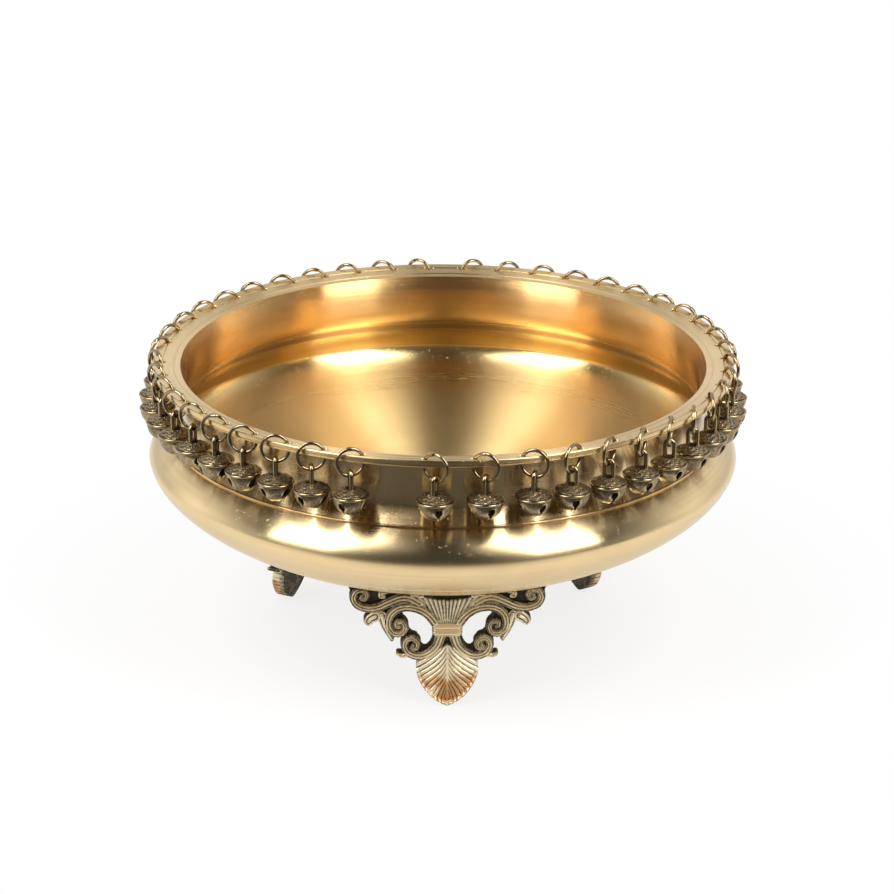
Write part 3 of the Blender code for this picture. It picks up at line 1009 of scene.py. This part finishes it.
@dataclass(frozen=True)
class Stroke:
    """A raised band along a curve on one half of a foot, in millimetres.

    Attributes:
        corners: Points (across, up) that its middle line goes through.
        start: Half its width at the first point.
        end: Half its width at the last point.
        height: How far it stands out.
        grooves: Where grooves run along it, as shares of its half width.
        groove_width: Half the width of a groove, as such a share.
        groove_depth: How deep a groove is, as a share of the height.
    """

    corners: Corners
    start: float
    end: float
    height: float
    grooves: tuple[float, ...] = (0.0,)
    groove_width: float = 0.17
    groove_depth: float = 0.5

    def share(self, x: Array, z: Array) -> Array:
        """How far points lie from the middle line, as a share of half the width there.

        Args:
            x: Across the foot, in millimetres.
            z: Up the foot, in millimetres.

        Returns:
            0 on the middle line and 1 on the edge.
        """
        path = smooth_path(self.corners, 7)
        widths = np.linspace(self.start, self.end, len(path))
        nearest = np.full(x.shape, np.inf)
        for (_, _, away), width in zip(stretches(path, x, z), widths):
            nearest = np.minimum(nearest, away / width)
        return nearest

    def layer(self, x: Array, z: Array) -> Layer:
        """The rounded band, h sqrt(1 - s^4) high, less its grooves.

        Args:
            x: Across the foot.
            z: Up the foot.

        Returns:
            The layer.
        """
        share = self.share(x, z)
        dome = np.sqrt(np.clip(1 - share**4, 0.0, 1.0))
        cut = sum(bell_curve(share - groove, self.groove_width) for groove in self.grooves)
        level = dome * (1 - self.groove_depth * cut)
        return self.height * level, share < 1.0, np.clip(1.45 - 1.5 * level, 0.0, 1.0)


SCROLL_ARMS = (
    Stroke(
        ((11.5, 44.8), (15.5, 47.0), (19.6, 47.3), (24.5, 45.3), (29.0, 43.2), (33.4, 42.8), (37.4, 44.2),
         (39.2, 47.2), (38.2, 50.2), (35.6, 51.0), (33.7, 49.2), (34.4, 47.0), (36.2, 47.4), (35.8, 48.6)),
        2.6, 1.0, 2.3, (0.0, 0.6),
    ),
    Stroke(
        ((5.0, 36.2), (8.0, 39.9), (12.5, 42.6), (17.7, 43.3), (22.0, 41.8), (24.4, 38.4), (24.5, 34.4),
         (22.4, 31.6), (19.4, 31.4), (17.7, 33.8), (18.7, 36.4), (21.0, 36.6), (21.4, 34.8), (20.4, 34.4)),
        2.45, 1.1, 2.6, (0.0, 0.6),
    ),
    Stroke(
        ((2.9, 30.0), (4.6, 25.6), (8.5, 22.2), (12.5, 21.4), (16.2, 22.8), (17.9, 26.0), (16.8, 28.8),
         (14.2, 29.0), (12.4, 27.0), (13.0, 24.9), (14.8, 25.0), (14.4, 26.4)),
        2.3, 1.0, 2.6, (0.0, 0.6),
    ),
    Stroke(
        ((11.0, 48.4), (17.0, 50.2), (23.0, 50.4), (27.4, 49.8), (28.0, 48.2), (26.6, 47.9)), 1.3, 0.9, 1.5,
    ),
    Stroke(((27.4, 39.6), (25.9, 34.0), (23.2, 28.6)), 2.0, 0.9, 1.5, (0.5,)),
    Stroke(((30.2, 39.0), (32.0, 38.0), (33.0, 36.8)), 2.6, 2.0, 1.9, (0.4,)),
    Stroke(((17.4, 21.6), (19.0, 21.4), (20.6, 21.8)), 1.2, 0.8, 1.5),
)


@dataclass
class CastFoot:
    """A foot: a pierced casting of S and C scrolls, a plume tied by a band and a fluted shell to stand on.

    A foot is drawn flat, in millimetres across and up from its pad, and stands on a circle about the
    bowl's axis, with its lower end swept outwards.

    Attributes:
        back: How far the back lies behind the foot's middle plane.
        ground: How far the face lies before it where nothing is raised.
        flare: How far the pad is swept outwards.
        flute: Distance between the shell's ridges.
        bend: How far a ridge drops on its way out.
        plume_root: Height where the plume's vanes would meet.
        web: Outline of one half of the scrollwork, closed along the foot's middle.
        opening: Outline of the hole in it.
        shell: Outline of one half of the shell, closed in the same way.
    """

    bowl: TurnedBowl
    circle: float = 72.0
    back: float = 2.5
    back_hollow: float = 0.75
    ground: float = 1.5
    ground_hollow: float = 0.85
    flare: float = 4.5
    braze_gap: float = 0.3
    half_width: float = 41.5
    pitch: float = 0.3
    shell_half_width: float = 12.8
    shell_widest: float = 15.5
    rib: float = 0.55
    flute: float = 2.3
    bend: float = 14.5
    bend_power: float = 0.45
    plume_root: float = 27.0
    vane_count: int = 36
    tie_level: float = 33.0
    tie_half: Span = (6.4, 3.0)
    tie_ridge: float = 1.35
    web: Corners = (
        (0.0, 23.0), (6.0, 21.0), (13.5, 20.4), (18.6, 24.4), (18.4, 29.4), (24.6, 31.0), (25.6, 36.4),
        (30.5, 38.4), (37.6, 42.8), (39.8, 48.0), (39.2, 60.0), (0.0, 60.0),
    )
    opening: Corners = (
        (6.3, 35.2), (9.6, 38.8), (13.6, 40.8), (18.6, 40.4), (18.4, 37.9), (16.6, 35.6), (15.6, 31.6),
        (12.4, 29.6), (10.7, 25.2), (8.6, 24.6), (6.6, 27.4), (5.9, 31.0),
    )
    shell: Corners = (
        (0.0, 0.0), (3.1, 1.3), (7.2, 4.2), (10.6, 8.6), (12.7, 13.6), (12.6, 17.8), (9.0, 21.0),
        (0.0, 26.0),
    )

    @staticmethod
    def polygon(corners: Corners, x: Array, z: Array, closed: bool) -> Array:
        """Signed distance to a smooth outline, below 0 inside it.

        Args:
            corners: Points that the outline goes through.
            x: Across the foot.
            z: Up the foot.
            closed: Whether the outline is a ring by itself; an open one closes along the foot's middle.

        Returns:
            The distance, in the unit of the corners.
        """
        path = smooth_path([*corners, corners[0]] if closed else corners, 6)
        distance = np.full(x.shape, np.inf)
        inside = np.zeros(x.shape, bool)
        for begin, finish, away in stretches(np.concatenate([path, path[:1]]), x, z):
            if closed or abs(begin[0]) + abs(finish[0]) > 1e-6:
                distance = np.minimum(distance, away)
            across, rise = finish - begin
            crossing = (begin[1] > z) != (finish[1] > z)
            inside ^= crossing & (x < begin[0] + (z - begin[1]) * across / (rise if rise else 1.0))
        return np.where(inside, -distance, distance)

    def seat(self, x: Array) -> Array:
        """Height of the belly over the foot's middle plane, less the gap for the braze, in millimetres."""
        radius = np.hypot(x, self.circle) * MM
        return self.bowl.under(radius) / MM - self.braze_gap

    def outline(self, x: Array, z: Array) -> Array:
        """Signed distance to the foot's edge: web less opening, with bands and shell, under the seat.

        Args:
            x: Across the foot.
            z: Up the foot.

        Returns:
            The distance in millimetres, below 0 inside the foot.
        """
        x = np.abs(x)
        web = np.maximum(self.polygon(self.web, x, z, False), -self.polygon(self.opening, x, z, True))
        parts = [web, self.polygon(self.shell, x, z, False), self.tie_share(x, z) * 2 - 2]
        for stroke in SCROLL_ARMS:
            parts.append((stroke.share(x, z) - 1) * (stroke.start + stroke.end) / 2)
        return np.maximum(np.minimum.reduce(parts), z - self.seat(x))

    def tie_share(self, x: Array, z: Array) -> Array:
        """How far points lie from the middle of the tie band: 1 on the edge of a rounded block."""
        wide, tall = self.tie_half
        return ((np.abs(x) / wide) ** 6 + (np.abs(z - self.tie_level) / tall) ** 6) ** (1 / 6)

    def flutes(self, x: Array, z: Array) -> Array:
        """Ridges of the shell, which leave its middle one below the other and curve outwards.

        A ridge is z = z0 - b s^p with s = x / w, where w is half the shell's width at z, so the waves are
        cos of z0 = z + b s^p. A straight rib covers the middle.

        Args:
            x: Across the foot.
            z: Up the foot.

        Returns:
            0 in a groove and 1 on a ridge.
        """
        below = np.clip((self.shell_widest - z) / self.shell_widest, 0.0, 0.99)
        side = np.clip(x / (self.shell_half_width * (1 - below**2) ** 0.7), 0.0, 1.2)
        wave = np.abs(np.cos((z + self.bend * side**self.bend_power) * math.pi / self.flute)) ** 0.6
        return np.maximum(wave, bell_curve(x, self.rib))

    def shell_layer(self, x: Array, z: Array) -> Layer:
        """The shell: a low dome, scooped out near its foot, with flutes and a lip along its lower edge.

        Args:
            x: Across the foot.
            z: Up the foot.

        Returns:
            The layer.
        """
        edge = self.polygon(self.shell, x, z, False)
        flutes = self.flutes(x, z)
        lip = bell_curve(edge + 0.9, 0.55) * np.clip((17.0 - z) / 6.0, 0.0, 1.0)
        dish = np.clip(-edge / 5.0, 0.0, 1.0)
        scoop = dish * bell_curve(z - 8.0, 4.5)
        level = 1.1 + 0.5 * dish - 0.6 * scoop + 0.95 * flutes + 1.0 * lip
        return level, edge < 0.4, 0.95 - 0.9 * flutes - 0.5 * lip

    def plume_layer(self, x: Array, z: Array) -> Layer:
        """The plume: a fan that widens upwards, with vanes that are waves of the angle at its root.

        Args:
            x: Across the foot.
            z: Up the foot.

        Returns:
            The layer.
        """
        where = (x < 4.2 + 0.9 * (z - 36.0)) & (z > 34.0) & (z < 46.2 + 2.6 * (x / 13.0) ** 2)
        angle = np.arctan(x / np.maximum(z - self.plume_root, 0.5))
        vanes = np.abs(np.cos(self.vane_count * angle)) ** 0.7
        return 0.7 + 0.7 * vanes, where, 0.9 - 0.62 * vanes

    def tie_layer(self, x: Array, z: Array) -> Layer:
        """The tie band: a rounded block with ridges across.

        Args:
            x: Across the foot.
            z: Up the foot.

        Returns:
            The layer.
        """
        share = self.tie_share(x, z)
        ridges = np.cos((z - self.tie_level) * math.pi / self.tie_ridge) ** 2
        level = (2.3 + 0.8 * ridges) * np.sqrt(np.clip(1 - share**6, 0.0, 1.0))
        return level, share < 1.0, np.clip(1.0 - 0.32 * level - 0.3 * ridges, 0.0, 1.0)

    def relief(self, x: Array, z: Array) -> tuple[Array, Array]:
        """The height of the foot's face over its ground, and how deep each point lies in a recess.

        Args:
            x: Across the foot.
            z: Up the foot.

        Returns:
            Height in millimetres, and depth of recess from 0 to 1.
        """
        x = np.abs(x)
        height = np.zeros(x.shape)
        hollow = np.full(x.shape, self.ground_hollow)
        strokes = (stroke.layer for stroke in SCROLL_ARMS)
        for layer in (self.shell_layer, self.plume_layer, *strokes, self.tie_layer):
            level, where, dark = layer(x, z)
            higher = where & (level > height)
            height[higher] = level[higher]
            hollow[higher] = dark[higher]
        return height, hollow

    def face(self, x: Array, z: Array, out: Array | float) -> Array:
        """Points of the front foot, in metres, that stand out this far from its middle plane.

        Args:
            x: Across the foot.
            z: Up the foot.
            out: How far they stand out.

        Returns:
            The points.
        """
        height = self.bowl.under(np.array(self.circle * MM)) / MM
        swept = out + self.flare * np.clip(1 - z / height, 0.0, 1.0) ** 2
        return np.stack([x, -self.circle - swept, z], axis=-1) * MM

    def sheet(self) -> Surface:
        """The foot at the front of the bowl.

        Returns:
            The surface, in metres.
        """
        columns = int(2 * self.half_width / self.pitch) + 1
        top = float(self.seat(np.array(self.half_width))) + 2 * self.pitch
        rows = int((top + 1) / self.pitch) + 1
        across, up = np.linspace(-self.half_width, self.half_width, columns), np.linspace(-1.0, top, rows)
        sheet = PiercedSheet(
            lambda x, z: self.face(x, z, self.ground + self.relief(x, z)[0]),
            lambda x, z: self.face(x, z, -self.back),
            self.outline,
            back_hollow=self.back_hollow,
        )
        return sheet.surface(*np.meshgrid(across, up), 0.55 * self.pitch, lambda x, z: self.relief(x, z)[1])

    def build(self, mounts: Sequence[Mapping[str, Any]], metal: bpy.types.Material) -> None:
        """Makes a foot over each pad.

        Args:
            mounts: The record's mounts, each named after its foot.
            metal: The finish of the feet.
        """
        front = self.sheet()
        for mount in mounts:
            x, y, _ = mount["pos_m"]
            node = mount["name"].removesuffix("_pad")
            turn = np.array(about_z(math.atan2(x, -y)))
            piece = to_piece(front.placed(turn), node + "_casting", self.bowl.body, [metal])
            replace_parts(piece, node)


# The rings and bells


@dataclass
class Station:
    """One hole of the rim, with what hangs in it.

    Attributes:
        number: Its number, as two figures.
        place: The middle of the hole.
        angle: How far round the bowl it is, from the front towards +X.
        lean: 1 where its ring leans towards +angle and -1 where it leans back.
        detailed: Whether ring, bell and pellet move by themselves.
    """

    number: str
    place: Vector
    angle: float
    lean: int
    detailed: bool

    @classmethod
    def of_joint(cls, joint: Mapping[str, Any]) -> Station:
        """Reads a station from the joint that its ring swings on.

        Args:
            joint: The joint, whose child is the ring.

        Returns:
            The station.
        """
        child = joint["child"]
        x, y, z = joint["pos_m"]
        low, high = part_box(child)
        middle = (low + high) / 2
        lean = -1 if y * middle.x - x * middle.y > 0 else 1
        return cls(child[-2:], Vector((x, y, z)), math.atan2(x, -y), lean, child.startswith("jump_ring"))

    def frame(self) -> Matrix:
        """The hole's place, with the outside of the bowl at -Y."""
        return Matrix.Translation(self.place) @ about_z(self.angle)


@dataclass
class SlitBell:
    """A small cast bell on a wire ring: a granulated dome, a wire band and a cup slit crosswise.

    A bell is made about the point where its eye hangs on the ring's wire, and levels count from there.

    Attributes:
        ring_drop: How far the ring's middle lies below its hole, and likewise outwards and along the rim.
        ring_skew: The angle of the ring's plane to the rim.
        lap: The angle by which the ring's ends pass each other, and over lap_ease they part by lap_offset.
        lap_spread: How far the laps wander from the tops of their rings, by lap_step from ring to ring.
        granule_rows: Radius of the first row of granules, end of the rows, and distance between them.
        seam: The gap between the band's middle and the cup.
        lip: How far the slits' edges are raised.
        slit: Half the width of a slit.
        slit_end: Half the width and half the height of a slit's round end.
    """

    ring_radius: float = 5.6 * MM
    ring_wire: float = 0.75 * MM
    ring_drop: float = 1.5 * MM
    ring_out: float = 2.70 * MM
    ring_along: float = 4.67 * MM
    ring_skew: float = math.radians(59.97)
    lap: float = 0.22
    lap_ease: float = 0.5
    lap_offset: float = 0.42 * MM
    lap_spread: float = 0.8
    lap_step: float = 2.4
    radius: float = 7.3 * MM
    dome_top: float = -4.85 * MM
    equator: float = -8.15 * MM
    bottom: float = -16.35 * MM
    wall: float = 1.0 * MM
    band: float = 0.5 * MM
    granule_rows: tuple[float, float, float] = (2.6 * MM, 6.6 * MM, 0.78 * MM)
    granule_pitch: float = 1.05 * MM
    granule_radius: float = 0.52 * MM
    granule_height: float = 0.34 * MM
    granule_wander: float = 0.2 * MM
    seam: float = 0.3 * MM
    lip: float = 0.22 * MM
    slit: float = 0.55 * MM
    slit_end: Span = (1.45 * MM, 1.8 * MM)
    slit_level: float = -11.3 * MM
    eye_radius: float = 1.85 * MM
    eye_wire: float = 0.92 * MM
    eye_root: float = 1.0 * MM
    eye_hollow: float = 0.15
    pellet_radius: float = 2.0 * MM
    pellet_level: float = -12.85 * MM
    columns: int = 120
    rows: int = 30

    def ring_turn(self, lean: int) -> Matrix:
        """The turn that lays the X axis along a ring's plane, away from its hole."""
        along, out = lean * math.sin(self.ring_skew), -math.cos(self.ring_skew)
        return about_z(math.atan2(out, along))

    def ring(self, joint: float) -> Surface:
        """A ring bent from wire, in the XZ plane: its ends pass each other side by side at an angle.

        Args:
            joint: The angle where the ends overlap.

        Returns:
            The ring about its middle.
        """
        turn = np.linspace(joint - self.lap, joint + TAU + self.lap, 56)
        begin, end = (bell_curve(turn - turn[tip], self.lap_ease) for tip in (0, -1))
        path = upright_circle(turn, self.ring_radius)
        path[:, 1] = self.lap_offset * (end - begin)
        return tube(path, self.ring_wire, 10)

    def eye(self) -> Surface:
        """The staple that the bell hangs by, in the XZ plane: two legs and an arch.

        Returns:
            The staple, with an even patina.
        """
        arch = upright_circle(np.linspace(math.pi, 0, 13), self.eye_radius)
        leg = np.linspace(self.dome_top - self.eye_root, 0, 6)[:-1]
        left = np.column_stack([np.full(len(leg), -self.eye_radius), 0 * leg, leg])
        staple = tube(np.concatenate([left, arch, left[::-1] * [-1, 1, 1]]), self.eye_wire, 8)
        staple.hollow = staple.hollow + self.eye_hollow
        return staple

    def dome(self) -> Surface:
        """The top: a low cone, z = top - rise (r / R)^1.3, with rows of granules and the band's wire.

        Returns:
            The surface.
        """
        radius = np.linspace(self.radius - self.seam, 0, self.rows)[:, None]
        angle = round_angles(self.columns)[None, :]
        rise = self.dome_top - self.equator - self.band
        height = self.dome_top - rise * (radius / self.radius) ** 1.3
        grain = np.zeros((self.rows, self.columns))
        for index, row in enumerate(np.arange(*self.granule_rows)):
            count = round(TAU * row / self.granule_pitch)
            wander = row + self.granule_wander * np.sin(5 * angle + 2.2 * index)
            arc_away = row * ((angle * count / TAU + 0.37 * index) % 1 - 0.5) * TAU / count
            away = np.hypot(radius - wander, arc_away) / self.granule_radius
            size = 0.7 + 0.3 * np.sin(11 * angle + 1.7 * index)
            grain = np.maximum(grain, size * np.sqrt(np.clip(1 - away**2, 0.0, 1.0)))
        points = turned_points(radius, height + self.granule_height * grain, angle)
        dome = grid_surface(points, wrap_columns=True, hollow=0.8 - 0.75 * grain)
        wire = arc((self.radius - self.seam / 2, self.equator), self.band, -100, 100, 9)
        return Surface.joined([dome, turned(wire, self.columns)])

    def cup(self) -> Surface:
        """The lower half: a quarter ellipse turned round, inside and outside, pierced by the slits.

        Returns:
            The surface.
        """
        rim = self.equator - self.seam
        depth = rim - self.bottom
        length = 0.5 * math.pi * math.sqrt((self.radius**2 + depth**2) / 2)

        def point(u: Array, v: Array, inset: Array | float) -> Array:
            """Points of the ellipse (r sin t, -d cos t), u round the cup's edge and v up from its bottom.

            Args:
                u: Way round the edge.
                v: Way up from the bottom.
                inset: How far the points lie inside the cup's face.

            Returns:
                The points.
            """
            turn = v / length * math.pi / 2
            spread = (self.radius - 0.2 * MM - inset) * np.sin(turn)
            return turned_points(spread, rim - (depth - inset) * np.cos(turn), u / self.radius)

        def cut(u: Array, v: Array) -> Array:
            """Signed distance to the slits and their round ends.

            Args:
                u: Way round the edge.
                v: Way up from the bottom.

            Returns:
                The distance, below 0 within a slit.
            """
            x, y, z = np.moveaxis(point(u, v, 0.0), -1, 0)
            across = np.minimum(np.abs(x + y), np.abs(x - y)) / math.sqrt(2)
            wide, tall = self.slit_end
            slot = np.maximum(across - self.slit, z - self.slit_level)
            return np.minimum(slot, (np.hypot(across / wide, (z - self.slit_level) / tall) - 1) * wide)

        def edge(u: Array, v: Array, width: float) -> Array:
            """A bell curve of the distance to a line along the slits."""
            return bell_curve(cut(u, v) - 0.3 * MM, width)

        sheet = PiercedSheet(
            lambda u, v: point(u, v, -self.lip * edge(u, v, 0.35 * MM)),
            lambda u, v: point(u, v, self.wall),
            lambda u, v: -cut(u, v),
            wrap=True,
        )
        way_up = np.linspace(0.02, 1.0, self.rows) * length
        u, v = np.meshgrid(round_angles(self.columns) * self.radius, way_up)
        return sheet.surface(u, v, 0.17 * MM, lambda u, v: 0.5 - 0.5 * edge(u, v, 0.4 * MM))

    def pellet(self) -> Surface:
        """The shot inside: a ball, dented a little where it has struck the cup.

        Returns:
            The surface.
        """
        turn = np.linspace(-math.pi / 2, math.pi / 2, 13)[:, None]
        angle = round_angles(18)[None, :]
        radius = self.pellet_radius * (1 - 0.03 * np.cos(3 * angle) * np.cos(turn) ** 2) * np.cos(turn)
        height = self.pellet_level + self.pellet_radius * np.sin(turn) * np.ones_like(angle)
        return grid_surface(turned_points(radius, height, angle), wrap_columns=True)

    def build(self, stations: Sequence[Station], finishes: Sequence[bpy.types.Material]) -> None:
        """Makes what hangs at every station.

        Args:
            stations: The rim's holes.
            finishes: The metals of rings, bells and pellets.
        """
        bell = Surface.joined([self.dome(), self.cup(), self.eye()])
        pellet = self.pellet()
        quarter = about_z(math.pi / 2)
        for index, station in enumerate(stations):
            middle = Vector((station.lean * self.ring_along, -self.ring_out, -self.ring_drop))
            upright = station.frame() @ Matrix.Translation(middle) @ self.ring_turn(station.lean)
            hang = np.array(upright @ Matrix.Translation((0, 0, -self.ring_radius)) @ quarter)
            joint = math.pi / 2 + self.lap_spread * math.sin(self.lap_step * index)
            shapes = [self.ring(joint).placed(np.array(upright)), bell.placed(hang), pellet.placed(hang)]
            self.dress(station, shapes, finishes)

    @staticmethod
    def dress(station: Station, shapes: Sequence[Surface], finishes: Sequence[bpy.types.Material]) -> None:
        """Makes the pieces of one station, one for each of its solids.

        Args:
            station: The hole that they hang in.
            shapes: Its ring, bell and pellet.
            finishes: Their metals.
        """
        if not station.detailed:
            drop = Surface.joined([shape.finished(number) for number, shape in enumerate(shapes)])
            node = f"bell_on_ring_{station.number}"
            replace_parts(to_piece(drop, node + "_drop", node, finishes), node)
            return
        kinds = (("jump_ring", Slot.ANTIQUE), ("bell", Slot.ANTIQUE), ("bell_pellet", Slot.IRON))
        for (kind, slot), shape, metal in zip(kinds, shapes, finishes):
            node = f"{kind}_{station.number}"
            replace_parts(to_piece(shape, node + "_shown", node, [metal]), node)


# The studio


@dataclass
class Studio:
    """A pale floor, two soft boxes, a bright back and a dim front, and the photograph's camera.

    Attributes:
        lamps: Names of the soft boxes, and how many degrees each stands round from the front towards +X.
        lamp_elevation: How many degrees they stand above the floor.
        lamp_power: Power of a soft box in watts.
        floor_dim: Colour of the floor before the bowl, as the metal mirrors it.
        near_edge: Places along Y over which the floor goes from dim to pale.
        blank_radii: Radii over which the floor's shadow fades, and blank_front the places along Y.
        back_stops: Brightness of the back at shares of the way from straight down to straight up.
        overhead: Heights between which a panel hangs overhead, and overhead_gap the dark strip along it.
    """

    lens: float = 121.3
    sensor: float = 36.0
    distance: float = 1294.6 * MM
    elevation: float = math.radians(21.54)
    aim_height: float = 127.7 * MM
    right: float = 1.8 * MM
    rise: float = -39.3 * MM
    roll: float = math.radians(0.4)
    lamps: tuple[tuple[str, float], ...] = (("soft_box_left", -54.0), ("soft_box_right", 47.0))
    lamp_elevation: float = 43.0
    lamp_size: Span = (0.45, 0.88)
    lamp_power: float = 8.3
    lamp_target: float = 90 * MM
    floor_radius: float = 1.2
    floor_dim: Colour = (0.07, 0.065, 0.06)
    floor_pale: Colour = (0.84, 0.83, 0.82)
    near_edge: Span = (-0.21, -0.165)
    blank_radii: Span = (0.08, 0.30)
    blank_front: Span = (-0.12, -0.165)
    back_stops: Corners = ((0.0, 0.3), (0.5, 0.55), (0.66, 0.95), (0.85, 0.45), (1.0, 0.3))
    overhead: Levels = (0.70, 0.82, 0.91, 0.98)
    overhead_gap: Span = (0.04, 0.25)

    def build(self) -> None:
        """Sets up the camera, the lamps, the floor and the world."""
        self.camera()
        for name, azimuth in self.lamps:
            self.lamp(name, azimuth)
        self.floor()
        self.world()
        bpy.context.scene.view_settings.view_transform = "Standard"

    def camera(self) -> None:
        """Places the camera by its fit to the rim, the belly and the feet."""
        camera = bpy.data.objects.new("camera", bpy.data.cameras.new("camera"))
        camera.data.lens = self.lens
        camera.data.sensor_width = self.sensor
        camera.data.clip_start = 0.05
        forward = Vector((0.0, math.cos(self.elevation), -math.sin(self.elevation)))
        up = Vector((0.0, math.sin(self.elevation), math.cos(self.elevation)))
        side = Vector((1.0, 0.0, 0.0))
        aim = Vector((0.0, 0.0, self.aim_height))
        place = aim - forward * self.distance + side * self.right + up * self.rise
        turn = Matrix((side, up, -forward)).transposed().to_4x4()
        camera.matrix_world = Matrix.Translation(place) @ turn @ about_z(self.roll)
        link(camera)
        bpy.context.scene.camera = camera

    def lamp(self, name: str, azimuth: float) -> None:
        """Adds a soft box that faces the bowl from a metre away.

        Args:
            name: The lamp's name.
            azimuth: Degrees round from the front towards +X.
        """
        lamp = bpy.data.objects.new(name, bpy.data.lights.new(name, "AREA"))
        lamp.data.shape = "RECTANGLE"
        lamp.data.size, lamp.data.size_y = self.lamp_size
        lamp.data.energy = self.lamp_power
        around, above = math.radians(azimuth), math.radians(self.lamp_elevation)
        level = math.cos(above)
        away = Vector((math.sin(around) * level, -math.cos(around) * level, math.sin(above)))
        place = Vector((0.0, 0.0, self.lamp_target)) + away
        lamp.matrix_world = Matrix.Translation(place) @ away.to_track_quat("Z", "Y").to_matrix().to_4x4()
        link(lamp)

    def floor(self) -> None:
        """Lays a round white floor that keeps a faint shadow and fades to the white background."""
        surface = turned(np.array([[self.floor_radius, 0.0], [0.0, 0.0]]), 96)
        mesh = bpy.data.meshes.new("floor")
        mesh.from_pydata(surface.points.tolist(), [], surface.faces.tolist())
        material, graph = new_material("studio_floor")
        x, y, _ = graph.parts(graph.place())
        radius = (x * x + y * y) ** 0.5
        seen, mirrored = (graph.node("LightPath", {}, {}, f"Is {ray} Ray") for ray in ("Camera", "Glossy"))
        near = y.rise(*self.near_edge)
        paper = graph.node("BsdfDiffuse", {}, {"Color": graph.mixed(near, self.floor_dim, self.floor_pale)})
        white = graph.node("Emission", {}, {"Color": (1.0, 1.0, 1.0, 1.0), "Strength": 1.0})
        blank = radius.rise(*self.blank_radii).math("MAXIMUM", y.rise(*self.blank_front))
        share = seen * (blank * 0.2 + 0.8) + mirrored * near * 0.5
        shader = graph.node("MixShader", {}, {0: share, 1: paper, 2: white})
        graph.node("OutputMaterial", {}, {"Surface": shader})
        mesh.materials.append(material)
        floor = bpy.data.objects.new("floor", mesh)
        link(floor)

    def world(self) -> None:
        """Makes the surroundings: white to the camera, bright behind the bowl and dim in front of it."""
        world = bpy.data.worlds.new("studio")
        world.use_nodes = True
        bpy.context.scene.world = world
        graph = Graph(world.node_tree)
        direction = graph.node("TexCoord", {}, {}, output="Generated")
        x, y, z = graph.parts(direction)
        settings = {"stops": [(place, (level, level, level)) for place, level in self.back_stops]}
        back = graph.node("ValToRGB", settings, {"Fac": z * 0.5 + 0.5})
        overhead = x.math("ABSOLUTE").rise(*self.overhead_gap) * z.between(self.overhead)
        sides = x.rise(-0.8, -0.97) * 0.55 + x.rise(0.8, 0.97) * 0.3
        light = y.rise(-0.2, 0.4) * back + overhead * 0.75 + sides + 0.06
        seen = graph.node("LightPath", {}, {}, output="Is Camera Ray")
        strength = seen + (1 - seen) * light
        shade = graph.node("Background", {}, {"Color": (1.0, 1.0, 1.0, 1.0), "Strength": strength})
        graph.node("OutputWorld", {}, {"Surface": shade})


def main() -> None:
    """Builds the studio and the object, piece by piece."""
    logging.basicConfig(level=logging.INFO, format="%(message)s")
    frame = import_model()
    Studio().build()
    rim_joints = [joint for joint in frame["joints"] if joint["parent"] == "bowl"]
    stations = [Station.of_joint(joint) for joint in rim_joints]
    holes = np.array([(station.angle, station.place.xy.length) for station in stations])
    bowl = TurnedBowl()
    bowl.build(holes, PolishedBrass().material())
    CastFoot(bowl).build(frame["record"]["mounts"], RUBBED_CASTING.material())
    SlitBell().build(stations, [RING_WIRE.material(), DARK_BELL.material(), IronShot().material()])


if __name__ == "__main__":
    main()
